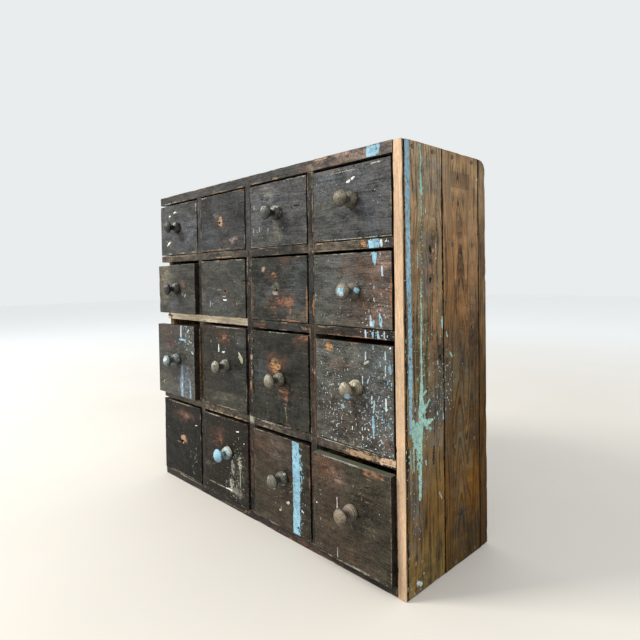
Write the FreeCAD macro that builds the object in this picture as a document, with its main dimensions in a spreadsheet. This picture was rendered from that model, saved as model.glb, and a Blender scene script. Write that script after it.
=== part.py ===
"""Bank of sixteen small wooden workshop drawers, four across and four down.

Millimetres, +Z up, +X along the drawer fronts, the fronts facing -Y. The origin is the centre of
the carcass's underside. Every driving dimension is a cell of the sheet, and the sub-parts are
bound to the cells by expressions. Each drawer is modelled where it rests, a little way out of the
carcass by its own "pulled" cell.
"""
import FreeCAD, Part
import Sketcher
import math
import os

doc = FreeCAD.newDocument("drawer_bank")
sheet = doc.addObject("Spreadsheet::Sheet", "Sheet")

SIZES = {
    # carcass
    "width": 600.0,
    "height": 560.0,
    "depth": 200.0,
    "side_board": 14.0,
    "side_front_board": 87.0,
    "left_set_back": 16.0,
    "top_thickness": 16.0,
    "bottom_thickness": 13.0,
    "shelf_thickness": 13.0,
    "shelf_set_back": 10.0,
    "divider_thickness": 12.0,
    "center_thickness": 13.0,
    "back_thickness": 20.0,
    "back_round": 18.0,
    # clear openings
    "column_1": 140.0,
    "column_2": 135.5,
    "column_3": 134.5,
    "column_4": 139.0,
    "row_1": 101.0,
    "row_2": 101.0,
    "row_3": 145.0,
    "row_4": 145.0,
    # drawers
    "side_gap": 1.5,
    "floor_gap": 0.6,
    "end_gap": 1.0,
    "front_thickness": 12.0,
    "front_round": 1.4,
    "drawer_side": 8.0,
    "drawer_back": 8.0,
    "drawer_bottom": 6.0,
    "side_drop": 6.0,
    # knobs and their screws
    "knob_hole": 2.2,
    "knob_bore": 2.0,
    "knob_bore_depth": 14.0,
    "knob_base": 10.8,
    "knob_base_length": 11.0,
    "knob_neck": 5.2,
    "knob_neck_end": 16.0,
    "knob_head": 11.6,
    "knob_head_rim": 21.5,
    "knob_length": 28.5,
    "knob_collar_round": 8.6,
    "knob_cup_round": 8.6,
    "screw_shank": 1.9,
    "screw_reach": 12.0,
    "screw_head": 4.0,
    "screw_head_length": 2.2,
    # carcass nails
    "nail_shank": 1.2,
    "nail_length": 34.0,
    "nail_head": 2.8,
    "nail_head_length": 0.9,
    "nail_proud": 0.3,
}

ROWS = (1, 2, 3, 4)
COLUMNS = (1, 2, 3, 4)

# Per drawer: how far it stands out, its headroom, and its knob hole's offset from its middle.
DRAWERS = {
    "r1c1": (1.0, 3.0, -1.0, 3.0),
    "r1c2": (1.0, 2.5, -8.0, 0.0),
    "r1c3": (0.5, 3.0, 1.0, 1.0),
    "r1c4": (1.0, 4.0, 4.0, 3.0),
    "r2c1": (8.0, 5.0, 4.0, 0.0),
    "r2c2": (2.0, 2.5, 7.0, -4.0),
    "r2c3": (1.0, 3.0, -3.0, -1.0),
    "r2c4": (2.0, 3.5, 7.0, -1.0),
    "r3c1": (12.0, 6.5, 7.0, 2.0),
    "r3c2": (3.0, 3.0, 10.0, 4.0),
    "r3c3": (2.0, 3.0, 4.0, -1.0),
    "r3c4": (1.0, 6.0, 9.0, 10.0),
    "r4c1": (2.0, 2.5, -1.0, -4.0),
    "r4c2": (3.0, 3.0, 11.0, 12.0),
    "r4c3": (2.0, 4.0, 7.0, 8.0),
    "r4c4": (9.0, 6.0, 4.0, 6.0),
}
DRAWER_CELLS = ("pulled", "headroom", "knob_x", "knob_z")
BARE_FRONTS = ("r1c2", "r2c2", "r2c3", "r4c1")

# Marks the stretch of the knob's profile that is an arc centred on the knob's axis.
DOME = "dome"

# Widths of the upright planks of the back, from the left.
BACK_PLANKS = (112.0, 131.0, 118.0, 127.0, 112.0)

# Rotations that turn a cylinder's +Z along another axis.
ALONG_PLUS_Y = FreeCAD.Rotation(FreeCAD.Vector(1, 0, 0), -90)
ALONG_MINUS_Y = FreeCAD.Rotation(FreeCAD.Vector(1, 0, 0), 90)
ALONG_MINUS_X = FreeCAD.Rotation(FreeCAD.Vector(0, 1, 0), -90)
ALONG_PLUS_X = FreeCAD.Rotation(FreeCAD.Vector(0, 1, 0), 90)

subparts = {}


# ---------------------------------------------------------------- the sheet and its expressions
def fill_sheet():
    """Write every driving dimension into its own cell and give the cell its alias."""
    cells = dict(SIZES)
    for key, values in DRAWERS.items():
        for name, value in zip(DRAWER_CELLS, values):
            cells[f"{name}_{key}"] = value
    for number, width in enumerate(BACK_PLANKS, 1):
        cells[f"back_plank_{number}"] = width
    for line, (alias, value) in enumerate(cells.items(), 1):
        sheet.set(f"A{line}", alias)
        sheet.set(f"B{line}", str(value))
        sheet.setAlias(f"B{line}", alias)
    doc.recompute()


def cell(alias):
    """The expression that reads one cell, as a length."""
    return f"Sheet.{alias} * 1 mm"


def total(*terms):
    """The sum of some expressions."""
    return " + ".join(f"({term})" for term in terms)


def minus(term):
    return f"-({term})"


def column_left(column):
    """The left face of a column's opening."""
    terms = ["-Sheet.width / 2 * 1 mm"]
    for number in range(1, column):
        terms.append(cell(f"column_{number}"))
        terms.append(cell("center_thickness" if number == 2 else "divider_thickness"))
    return total(*terms)


def column_right(column):
    return total(column_left(column), cell(f"column_{column}"))


def row_floor(row):
    """The top face of the board that a row's drawers stand on."""
    terms = [cell("bottom_thickness")]
    for number in range(4, row, -1):
        terms.append(cell(f"row_{number}"))
        terms.append(cell("shelf_thickness"))
    return total(*terms)


def row_ceiling(row):
    return total(row_floor(row), cell(f"row_{row}"))


LEFT_END = "-Sheet.width / 2 * 1 mm"
RIGHT_INSIDE = "(Sheet.width / 2 - Sheet.side_board) * 1 mm"
FRONT_PLANE = "-Sheet.depth / 2 * 1 mm"
BACK_INSIDE = "(Sheet.depth / 2 - Sheet.back_thickness) * 1 mm"
MIDDLE_DEPTH = f"(({FRONT_PLANE}) + ({BACK_INSIDE})) / 2"


# ---------------------------------------------------------------- building blocks
def place(thing, x, y, z, rotation=None):
    """Bind an object's Placement to three expressions, with an optional fixed rotation."""
    if rotation is not None:
        thing.Placement = FreeCAD.Placement(FreeCAD.Vector(), rotation)
    thing.setExpression("Placement.Base.x", x)
    thing.setExpression("Placement.Base.y", y)
    thing.setExpression("Placement.Base.z", z)


def block(label, low, high):
    """A plain board between two corners, each given as three expressions."""
    board = doc.addObject("Part::Box", label)
    board.Label = label
    for side, start, end in zip(("Length", "Width", "Height"), low, high):
        board.setExpression(side, f"({end}) - ({start})")
    place(board, *low)
    return board


def cut(label, base, tool):
    """One object less another."""
    result = doc.addObject("Part::Cut", label)
    result.Base = base
    result.Tool = tool
    result.Label = label
    return result


def fuse(label, base, tool):
    """Two objects made one solid."""
    result = doc.addObject("Part::Fuse", label)
    result.Base = base
    result.Tool = tool
    result.Label = label
    return result


def group(label, members):
    """Separate solids that make one sub-part."""
    compound = doc.addObject("Part::Compound", label)
    compound.Links = members
    compound.Label = label
    return compound


def origin_plane(body, role):
    """One of a body's own origin planes."""
    return next(f for f in body.Origin.OriginFeatures if f.Role == role)


def new_sketch(body, role, label):
    """An empty sketch on one of a body's origin planes."""
    sketch = body.newObject("Sketcher::SketchObject", label)
    sketch.AttachmentSupport = [(origin_plane(body, role), "")]
    sketch.MapMode = "FlatFace"
    return sketch


def bind(sketch, constraint, expression):
    """Add a dimension to a sketch and bind it to an expression."""
    index = sketch.addConstraint(constraint)
    sketch.setExpression(f"Constraints[{index}]", expression)


def draw_rectangle(sketch, wide, tall):
    """A rectangle with one corner at the sketch's origin."""
    guess = 10.0
    corners = [(0, 0), (guess, 0), (guess, guess), (0, guess)]
    for number in range(4):
        start = FreeCAD.Vector(*corners[number], 0)
        end = FreeCAD.Vector(*corners[(number + 1) % 4], 0)
        sketch.addGeometry(Part.LineSegment(start, end))
    for number in range(4):
        following = (number + 1) % 4
        sketch.addConstraint(Sketcher.Constraint("Coincident", number, 2, following, 1))
    sketch.addConstraint(Sketcher.Constraint("Coincident", 0, 1, -1, 1))
    for number, kind in enumerate(("Horizontal", "Vertical", "Horizontal", "Vertical")):
        sketch.addConstraint(Sketcher.Constraint(kind, number))
    bind(sketch, Sketcher.Constraint("DistanceX", 0, 1, 0, 2, guess), wide)
    bind(sketch, Sketcher.Constraint("DistanceY", 1, 1, 1, 2, guess), tall)


def straight_edges(shape, test):
    """The names of a shape's straight edges whose middle passes a test."""
    names = []
    for number, edge in enumerate(shape.Edges, 1):
        if edge.Curve.TypeId == "Part::GeomLine" and test(edge.CenterOfMass):
            names.append(f"Edge{number}")
    return names


def round_edges(body, feature, test, radius):
    """Fillet the edges of a body's last feature whose middle passes a test."""
    doc.recompute()
    fillet = body.newObject("PartDesign::Fillet", "Rounding")
    fillet.Base = (feature, straight_edges(feature.Shape, test))
    fillet.setExpression("Radius", radius)
    return fillet


def keep(thing):
    """Hand a finished object in as a sub-part under its own label."""
    subparts[thing.Label] = thing


# ---------------------------------------------------------------- drawers
def front_width(column):
    return f"{cell(f'column_{column}')} - 2 * {cell('side_gap')}"


def front_height(row, key):
    return f"{cell(f'row_{row}')} - {cell('floor_gap')} - {cell(f'headroom_{key}')}"


def front_face(key):
    """The plane of a drawer's front where the drawer rests."""
    return total(FRONT_PLANE, minus(cell(f"pulled_{key}")))


def drawer_underside(row):
    return total(row_floor(row), cell("floor_gap"))


def knob_place(row, column, key):
    """The middle of a drawer's knob hole, on the front's face."""
    across = total(
        column_left(column), f"{cell(f'column_{column}')} / 2", cell(f"knob_x_{key}")
    )
    up = total(
        drawer_underside(row), f"({front_height(row, key)}) / 2", cell(f"knob_z_{key}")
    )
    return across, front_face(key), up


def draw_front_outline(sketch, wide, tall, hole_x, hole_z):
    """A rectangle from the sketch's origin with the knob's screw hole in it."""
    draw_rectangle(sketch, wide, tall)
    upright = FreeCAD.Vector(0, 0, 1)
    hole = sketch.addGeometry(Part.Circle(FreeCAD.Vector(50, 40, 0), upright, 2))
    bind(sketch, Sketcher.Constraint("DistanceX", -1, 1, hole, 3, 50), hole_x)
    bind(sketch, Sketcher.Constraint("DistanceY", -1, 1, hole, 3, 40), hole_z)
    bind(sketch, Sketcher.Constraint("Radius", hole, 2), cell("knob_hole"))


def drawer_front(row, column, key):
    """A front board with its knob hole, its outer arrises worn round."""
    body = doc.addObject("PartDesign::Body", f"drawer_{key}_front")
    body.Label = f"drawer_{key}_front"
    wide = front_width(column)
    tall = front_height(row, key)
    sketch = new_sketch(body, "XZ_Plane", "FrontOutline")
    hole_x = f"({wide}) / 2 + {cell(f'knob_x_{key}')}"
    hole_z = f"({tall}) / 2 + {cell(f'knob_z_{key}')}"
    draw_front_outline(sketch, wide, tall, hole_x, hole_z)
    pad = body.newObject("PartDesign::Pad", "Board")
    pad.Profile = sketch
    pad.Reversed = True
    pad.setExpression("Length", cell("front_thickness"))
    round_edges(body, pad, lambda middle: middle.y < 0.001, cell("front_round"))
    x = total(column_left(column), cell("side_gap"))
    place(body, x, front_face(key), drawer_underside(row))
    return body


def drawer_box(row, column, key):
    """The tray behind a front: bottom board, two sides and a back, each its own solid."""
    near = total(front_face(key), cell("front_thickness"))
    far = total(BACK_INSIDE, minus(cell("end_gap")), minus(cell(f"pulled_{key}")))
    left = total(column_left(column), cell("side_gap"))
    if column == 1:
        left = total(left, cell("side_board"))
    right = total(column_right(column), minus(cell("side_gap")))
    low = drawer_underside(row)
    deck = total(low, cell("drawer_bottom"))
    top = total(low, front_height(row, key), minus(cell("side_drop")))
    left_inside = total(left, cell("drawer_side"))
    right_inside = total(right, minus(cell("drawer_side")))
    back_inside = total(far, minus(cell("drawer_back")))
    stem = f"drawer_{key}"
    return group(f"{stem}_box", [
        block(f"{stem}_bottom_board", (left, near, low), (right, far, deck)),
        block(f"{stem}_left_side", (left, near, deck), (left_inside, far, top)),
        block(f"{stem}_right_side", (right_inside, near, deck), (right, far, top)),
        block(f"{stem}_back", (left_inside, back_inside, deck), (right_inside, far, top)),
    ])


# ---------------------------------------------------------------- knobs
def arc_to_the_left(start, end, radius):
    """The shorter arc between two points of a sketch that stands off to the left of its run."""
    a = FreeCAD.Vector(*start, 0)
    b = FreeCAD.Vector(*end, 0)
    chord = b - a
    bulge = radius - math.sqrt(radius**2 - (chord.Length / 2) ** 2)
    across = FreeCAD.Vector(-chord.y, chord.x, 0).normalize()
    return Part.Arc(a, (a + b) / 2 + across * bulge, b)


def dome_radius():
    """The radius of the head's dome, whose centre lies on the knob's axis."""
    rise = SIZES["knob_length"] - SIZES["knob_head_rim"]
    return (SIZES["knob_head"] ** 2 + rise**2) / (2 * rise)


def fix_point(sketch, geometry, end, across, out):
    """Bind a profile point to its radius cell and its distance cell, or to the axes at None."""
    if across:
        bind(sketch, Sketcher.Constraint("DistanceX", -1, 1, geometry, end, SIZES[across]),
             cell(across))
    else:
        sketch.addConstraint(Sketcher.Constraint("PointOnObject", geometry, end, -2))
    if out:
        bind(sketch, Sketcher.Constraint("DistanceY", geometry, end, -1, 1, SIZES[out]), cell(out))
    else:
        sketch.addConstraint(Sketcher.Constraint("PointOnObject", geometry, end, -1))


def draw_knob_profile(sketch):
    """Half of a turned knob: domed collar, narrow neck, mushroom head and screw bore.

    Radii run along the sketch's x and the distance out from the drawer along its -y. Each
    corner names its radius, its distance out, and the round of the stretch that follows it.
    """
    corners = [
        ("knob_bore", None, None),
        ("knob_base", None, "knob_collar_round"),
        ("knob_neck", "knob_base_length", None),
        ("knob_neck", "knob_neck_end", "knob_cup_round"),
        ("knob_head", "knob_head_rim", DOME),
        (None, "knob_length", None),
        (None, "knob_bore_depth", None),
        ("knob_bore", "knob_bore_depth", None),
    ]
    points = [(SIZES.get(across, 0.0), -SIZES.get(out, 0.0)) for across, out, _ in corners]
    ends = []
    for number, (_, _, rounding) in enumerate(corners):
        start, end = points[number], points[(number + 1) % len(points)]
        if rounding:
            radius = dome_radius() if rounding == DOME else SIZES[rounding]
            line = sketch.addGeometry(arc_to_the_left(start, end, radius))
        else:
            line = sketch.addGeometry(
                Part.LineSegment(FreeCAD.Vector(*start, 0), FreeCAD.Vector(*end, 0)))
        starts_there = sketch.getPoint(line, 1).distanceToPoint(FreeCAD.Vector(*start, 0)) < 1e-6
        ends.append((1, 2) if starts_there else (2, 1))
    for number, (across, out, rounding) in enumerate(corners):
        following = (number + 1) % len(corners)
        sketch.addConstraint(Sketcher.Constraint(
            "Coincident", number, ends[number][1], following, ends[following][0]))
        fix_point(sketch, number, ends[number][0], across, out)
        if rounding == DOME:
            sketch.addConstraint(Sketcher.Constraint("PointOnObject", number, 3, -2))
        elif rounding:
            bind(sketch, Sketcher.Constraint("Radius", number, SIZES[rounding]), cell(rounding))


def turned_knob(label):
    """The knob itself, turned about its own Y axis and standing out along -Y."""
    body = doc.addObject("PartDesign::Body", label)
    body.Label = label
    sketch = new_sketch(body, "XY_Plane", "KnobProfile")
    draw_knob_profile(sketch)
    turning = body.newObject("PartDesign::Revolution", "Turning")
    turning.Profile = sketch
    turning.ReferenceAxis = (sketch, ["V_Axis"])
    turning.Angle = 360
    return body


def round_bar(label, radius, length, x, y, z, rotation):
    """A cylinder from one point along the direction that its rotation gives +Z."""
    bar = doc.addObject("Part::Cylinder", label)
    bar.Label = label
    bar.setExpression("Radius", radius)
    bar.setExpression("Height", length)
    place(bar, x, y, z, rotation)
    return bar


def knob_screw(label, x, y, z):
    """The screw that holds a knob on, its head bearing on the front board's inner face."""
    inner = total(y, cell("front_thickness"))
    length = f"{cell('front_thickness')} + {cell('screw_reach')}"
    shank = round_bar(f"{label}_shank", cell("screw_shank"), length, x, inner, z, ALONG_MINUS_Y)
    head = round_bar(f"{label}_head", cell("screw_head"), cell("screw_head_length"),
                     x, inner, z, ALONG_PLUS_Y)
    return fuse(label, shank, head)


def knob(row, column, key):
    """One knob and the screw that holds it, as two separate solids."""
    x, y, z = knob_place(row, column, key)
    turning = turned_knob(f"knob_{key}_turning")
    place(turning, x, y, z)
    return group(f"knob_{key}", [turning, knob_screw(f"knob_{key}_screw", x, y, z)])


# ---------------------------------------------------------------- carcass
def side_boards_right():
    """The two upright boards of the right side, edge to edge."""
    outside = "Sheet.width / 2 * 1 mm"
    joint = total(FRONT_PLANE, cell("side_front_board"))
    keep(block("side_board_right_front", (RIGHT_INSIDE, FRONT_PLANE, "0 mm"),
               (outside, joint, cell("height"))))
    keep(block("side_board_right_rear", (RIGHT_INSIDE, joint, "0 mm"),
               (outside, BACK_INSIDE, cell("height"))))


def side_boards_left():
    """The two boards of the left side, set back behind the first column's drawer fronts."""
    near = total(FRONT_PLANE, cell("left_set_back"))
    joint = f"(({near}) + ({BACK_INSIDE})) / 2"
    low = cell("bottom_thickness")
    high = f"{cell('height')} - {cell('top_thickness')}"
    inside = total(LEFT_END, cell("side_board"))
    keep(group("side_boards_left", [
        block("left_front_board", (LEFT_END, near, low), (inside, joint, high)),
        block("left_rear_board", (LEFT_END, joint, low), (inside, BACK_INSIDE, high)),
    ]))


def top_and_bottom():
    """The top in two halves, which meet the centre divider, and the one-piece bottom."""
    under_top = f"{cell('height')} - {cell('top_thickness')}"
    keep(group("top_boards", [
        block("top_left_board", (LEFT_END, FRONT_PLANE, under_top),
              (column_right(2), BACK_INSIDE, cell("height"))),
        block("top_right_board", (column_left(3), FRONT_PLANE, under_top),
              (RIGHT_INSIDE, BACK_INSIDE, cell("height"))),
    ]))
    keep(block("bottom_board", (LEFT_END, FRONT_PLANE, "0 mm"),
               (RIGHT_INSIDE, BACK_INSIDE, cell("bottom_thickness"))))


def center_divider():
    keep(block("center_divider", (column_right(2), FRONT_PLANE, cell("bottom_thickness")),
               (column_left(3), BACK_INSIDE, cell("height"))))


def slotted_divider(label, column, near, far):
    """A divider right of a column, slotted between two depths where the shelves cross it."""
    low = cell("bottom_thickness")
    high = f"{cell('height')} - {cell('top_thickness')}"
    left, right = column_right(column), column_left(column + 1)
    board = block(f"{label}_board", (left, FRONT_PLANE, low), (right, BACK_INSIDE, high))
    slots = [
        block(f"{label}_slot_{row}", (left, near, row_ceiling(row + 1)), (right, far, row_floor(row)))
        for row in (1, 2, 3)
    ]
    keep(cut(label, board, group(f"{label}_slots", slots)))


def left_shelf(row):
    """A shelf of the left half: uncut in front, lapped over its divider from mid depth back.

    It is notched round the left side's boards. The middle shelf has lost its facing and so
    stands back behind the frame.
    """
    label = f"shelf_left_{row}"
    low, high = row_ceiling(row + 1), row_floor(row)
    near = total(FRONT_PLANE, cell("shelf_set_back")) if row == 2 else FRONT_PLANE
    board = block(f"{label}_board", (LEFT_END, near, low), (column_right(2), BACK_INSIDE, high))
    notch = block(f"{label}_notch",
                  (LEFT_END, total(FRONT_PLANE, cell("left_set_back")), low),
                  (total(LEFT_END, cell("side_board")), BACK_INSIDE, high))
    slot = block(f"{label}_slot", (column_right(1), MIDDLE_DEPTH, low),
                 (column_left(2), BACK_INSIDE, high))
    keep(cut(label, board, group(f"{label}_cuts", [notch, slot])))


def right_shelf(row):
    """A shelf of the right half, slotted from the front to mid depth for its divider."""
    label = f"shelf_right_{row}"
    low, high = row_ceiling(row + 1), row_floor(row)
    board = block(f"{label}_board", (column_left(3), FRONT_PLANE, low),
                  (RIGHT_INSIDE, BACK_INSIDE, high))
    slot = block(f"{label}_slot", (column_right(3), FRONT_PLANE, low),
                 (column_left(4), MIDDLE_DEPTH, high))
    keep(cut(label, board, slot))


def back_plank(number):
    """One upright plank of the back, its top rear arris rounded over."""
    label = f"back_plank_{number}"
    body = doc.addObject("PartDesign::Body", label)
    body.Label = label
    sketch = new_sketch(body, "XY_Plane", "PlankSection")
    draw_rectangle(sketch, cell(label), cell("back_thickness"))
    pad = body.newObject("PartDesign::Pad", "Plank")
    pad.Profile = sketch
    pad.setExpression("Length", cell("height"))
    doc.recompute()
    box = pad.Shape.BoundBox
    round_edges(body, pad, lambda m: m.z > box.ZMax - 0.001 and m.y > box.YMax - 0.001,
                cell("back_round"))
    x = total(LEFT_END, *(cell(f"back_plank_{n}") for n in range(1, number)))
    place(body, x, BACK_INSIDE, "0 mm")
    return body


def back_boards():
    keep(group("back_boards", [back_plank(n) for n in range(1, len(BACK_PLANKS) + 1)]))


# ---------------------------------------------------------------- nails
def nail(label, x, y, z, inward):
    """A nail driven in from a face, its flat head just proud of it.

    inward is the rotation that turns +Z into the way the nail was driven, and the head's outer
    face stands nail_proud before the point.
    """
    way = inward.multVec(FreeCAD.Vector(0, 0, 1))
    start = [
        f"({place_on}) - ({amount}) * {cell('nail_proud')}"
        for place_on, amount in zip((x, y, z), (round(way.x), round(way.y), round(way.z)))
    ]
    shank = round_bar(f"{label}_shank", cell("nail_shank"), cell("nail_length"), *start, inward)
    head = round_bar(f"{label}_head", cell("nail_head"), cell("nail_head_length"), *start, inward)
    return fuse(label, shank, head)


def board_levels():
    """The middle heights of the bottom, the three shelves and the top."""
    levels = [f"{cell('bottom_thickness')} / 2"]
    for row in (3, 2, 1):
        levels.append(f"{row_floor(row)} - {cell('shelf_thickness')} / 2")
    levels.append(f"{cell('height')} - {cell('top_thickness')} / 2")
    return levels


def side_nails():
    """Nails through both sides into the ends of the bottom, the shelves and the top."""
    nails = []
    for level, z in enumerate(board_levels()):
        for number, share in enumerate((0.12, 0.36, 0.62, 0.9)):
            y = f"({FRONT_PLANE}) + {share} * (({BACK_INSIDE}) - ({FRONT_PLANE}))"
            nails.append(nail(f"right_nail_{level}_{number}", "Sheet.width / 2 * 1 mm", y, z,
                              ALONG_MINUS_X))
            if number:
                nails.append(nail(f"left_nail_{level}_{number}", LEFT_END, y, z, ALONG_PLUS_X))
    return nails


def back_nails():
    """Two nails through each plank into the bottom and the shelves, one into each upright."""
    nails = []
    rear = "Sheet.depth / 2 * 1 mm"
    for level, z in enumerate(board_levels()[:-1]):
        left = LEFT_END
        for number in range(1, len(BACK_PLANKS) + 1):
            for share in (0.2, 0.8):
                x = f"({left}) + {share} * {cell(f'back_plank_{number}')}"
                nails.append(nail(f"back_nail_{level}_{number}_{round(share * 10)}", x, rear, z,
                                  ALONG_MINUS_Y))
            left = total(left, cell(f"back_plank_{number}"))
    half_side = f"{cell('side_board')} / 2"
    uprights = [total(LEFT_END, half_side)]
    for column in (1, 2, 3):
        uprights.append(f"(({column_right(column)}) + ({column_left(column + 1)})) / 2")
    uprights.append(total(RIGHT_INSIDE, half_side))
    for number, x in enumerate(uprights):
        z = f"({row_ceiling(1)}) - {cell('row_1')} / 3"
        nails.append(nail(f"upright_nail_{number}", x, rear, z, ALONG_MINUS_Y))
    return nails


def carcass_nails():
    keep(group("carcass_nails", side_nails() + back_nails()))


# ---------------------------------------------------------------- assembly and export
def build():
    """Make every sub-part of the carcass and of the sixteen drawers."""
    side_boards_right()
    side_boards_left()
    top_and_bottom()
    center_divider()
    slotted_divider("divider_left", 1, FRONT_PLANE, MIDDLE_DEPTH)
    slotted_divider("divider_right", 3, MIDDLE_DEPTH, BACK_INSIDE)
    for row in (1, 2, 3):
        left_shelf(row)
        right_shelf(row)
    back_boards()
    carcass_nails()
    for row in ROWS:
        for column in COLUMNS:
            key = f"r{row}c{column}"
            keep(drawer_front(row, column, key))
            keep(drawer_box(row, column, key))
            if key not in BARE_FRONTS:
                keep(knob(row, column, key))


def check():
    """Stop before anything is written if any object or any sub-part's shape has failed."""
    for thing in doc.Objects:
        failed = [state for state in thing.State if state in ("Invalid", "Error")]
        assert not failed, f"{thing.Label} is {failed}"
    for label, thing in subparts.items():
        shape = thing.Shape
        assert not shape.isNull() and shape.isValid(), f"{label} has no valid shape"
        assert shape.Volume > 0, f"{label} is empty"


def export():
    os.makedirs("parts", exist_ok=True)
    for label, thing in subparts.items():
        thing.Shape.exportStep(f"parts/{label}.step")


fill_sheet()
build()
doc.recompute()
check()
export()
print(f"{len(subparts)} sub-parts written")
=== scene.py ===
import math

import bpy
import numpy as np
from mathutils import Matrix, Vector


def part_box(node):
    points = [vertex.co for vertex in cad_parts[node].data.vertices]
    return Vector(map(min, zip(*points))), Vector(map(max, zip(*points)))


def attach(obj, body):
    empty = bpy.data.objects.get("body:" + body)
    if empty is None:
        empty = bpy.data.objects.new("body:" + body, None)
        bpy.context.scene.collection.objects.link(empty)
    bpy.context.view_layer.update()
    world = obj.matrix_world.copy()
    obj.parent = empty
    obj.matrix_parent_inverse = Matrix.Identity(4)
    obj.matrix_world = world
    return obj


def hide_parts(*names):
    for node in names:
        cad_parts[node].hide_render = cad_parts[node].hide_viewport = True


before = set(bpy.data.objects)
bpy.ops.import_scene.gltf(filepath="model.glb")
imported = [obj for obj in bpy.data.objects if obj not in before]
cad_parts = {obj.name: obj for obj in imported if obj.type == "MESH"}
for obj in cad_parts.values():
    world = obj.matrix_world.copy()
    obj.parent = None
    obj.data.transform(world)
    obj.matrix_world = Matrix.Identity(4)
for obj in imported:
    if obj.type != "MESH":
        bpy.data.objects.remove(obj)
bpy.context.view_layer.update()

MM = 0.001
ROWS = (1, 2, 3, 4)
COLUMNS = (1, 2, 3, 4)
KEYS = [f"r{row}c{column}" for row in ROWS for column in COLUMNS]
ROW_HEIGHT = {1: 101.0, 2: 101.0, 3: 145.0, 4: 145.0}
SIDE_GAP = 1.5
FLOOR_GAP = 0.6

# Where each kind of piece's random numbers start, and the step between the boards of one piece.
FRAME_SPLASH_SEED = 31
SIDE_SPLASH_SEED = 77
FRAME_SEED = 200
SIDE_SEED = 400
LEFT_SEED = 610
BACK_SEED = 700
FRONT_SEED = 1000
TRAY_SEED = 3000
PAINT_SEED = 5000
FRAME_PAINT_SEED = 6000
SIDE_PAINT_SEED = 6400
KNOB_SEED = 7000
BOARD_STEP = 101
# The steps of the boards' grids along X, Y and Z, in millimetres.
FRONT_GRID = (2.0, 3.0, 2.0)
TRAY_GRID = (9.0, 9.0, 9.0)
SHELF_GRID = (2.6, 14.0, 3.0)
UPRIGHT_GRID = (3.0, 14.0, 2.6)
TOP_GRID = (3.0, 4.0, 3.0)
BOTTOM_GRID = (3.0, 6.0, 3.0)
SIDE_GRID = (3.0, 2.2, 2.8)
LEFT_GRID = (4.0, 3.0, 3.6)
BACK_GRID = (3.6, 3.6, 4.0)

# The fronts' worn black paint, from the palest to nearly clean, 0 to 255. Dust and wear lighten it, and
# so does painted sheen: the paint's gloss is kept low and its sheen is painted into these coats, and the
# warm earthy one holds some painted warm reflection from below.
COATS = {
    "dust_and_sheen": (75, 75, 70),
    "grey": (70, 70, 70),
    "dull": (65, 65, 60),
    "earthy": (60, 55, 45),
    "dark": (55, 55, 55),
    "coal": (45, 45, 40),
    "tarry": (30, 25, 20),
    "pitch": (15, 15, 10),
}
# Colours of paint and wood, 0 to 255.
TINTS = {
    "soot": (20, 18, 17),
    "char": (40, 36, 32),
    "brown": (72, 56, 45),
    "rust": (100, 68, 52),
    "orange": (136, 98, 74),
    "tan": (126, 112, 92),
    "amber": (172, 128, 86),
    "pale": (168, 138, 108),
    "peach": (208, 176, 144),
    "pink": (160, 136, 124),
    "moss": (92, 94, 80),
    "slate": (84, 90, 96),
    "chalk": (150, 148, 138),
    "cream": (204, 196, 174),
    "white": (238, 238, 232),
    "bone": (170, 168, 154),
    "celadon": (150, 156, 132),
    "ice": (196, 212, 220),
    "mist": (132, 150, 168),
    "sky": (140, 186, 206),
    "teal": (148, 190, 178),
    "storm": (130, 172, 192),
}


# ---------------------------------------------------------------- numbers
def linear(rgb):
    """A 0 to 255 display colour as the linear numbers that shaders take."""
    c = np.asarray(rgb, float) / 255
    return np.where(c <= 0.04045, c / 12.92, ((c + 0.055) / 1.055) ** 2.4)


def smooth(low, high, x):
    """0 below low, 1 above high and an S curve between them; high may be the smaller."""
    t = np.clip((x - low) / (high - low), 0, 1)
    return t * t * (3 - 2 * t)


def tint_over(colours, tint, share):
    """Brings each vertex's colour towards a tint by its share, in place."""
    colours += (linear(TINTS[tint]) - colours) * share[:, None]


def lattice(cells, seed):
    """A repeatable random number from 0 to 1 for each whole-number cell."""
    c = cells.astype(np.int64)
    h = c[:, 0] * 73856093 ^ c[:, 1] * 19349663 ^ c[:, 2] * 83492791 ^ (seed + 1) * 2654435761
    for multiplier in (2246822519, 3266489917):
        h = ((h & 0xFFFFFFFF) ^ ((h & 0xFFFFFFFF) >> 15)) * multiplier
    return ((h >> 8) & 0xFFFFFF) / 0xFFFFFF


def noise(points, size, seed):
    """Smooth random numbers from 0 to 1, with bumps about size millimetres across."""
    q = points / np.asarray(size, float) + 1000.5
    cell = np.floor(q)
    f = q - cell
    f = f * f * (3 - 2 * f)
    total = np.zeros(len(points))
    for corner in np.ndindex(2, 2, 2):
        side = np.array(corner)
        total += np.prod(np.where(side, f, 1 - f), axis=1) * lattice(cell + side, seed)
    return total


def rough(points, size, seed, octaves=3):
    """Noise with ever finer detail added, from 0 to 1 and mostly near the middle."""
    total, weight, size = np.zeros(len(points)), 0.0, np.asarray(size, float)
    for octave in range(octaves):
        total += noise(points, size / 2**octave, seed + 31 * octave) / 2**octave
        weight += 1 / 2**octave
    return total / weight


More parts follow.
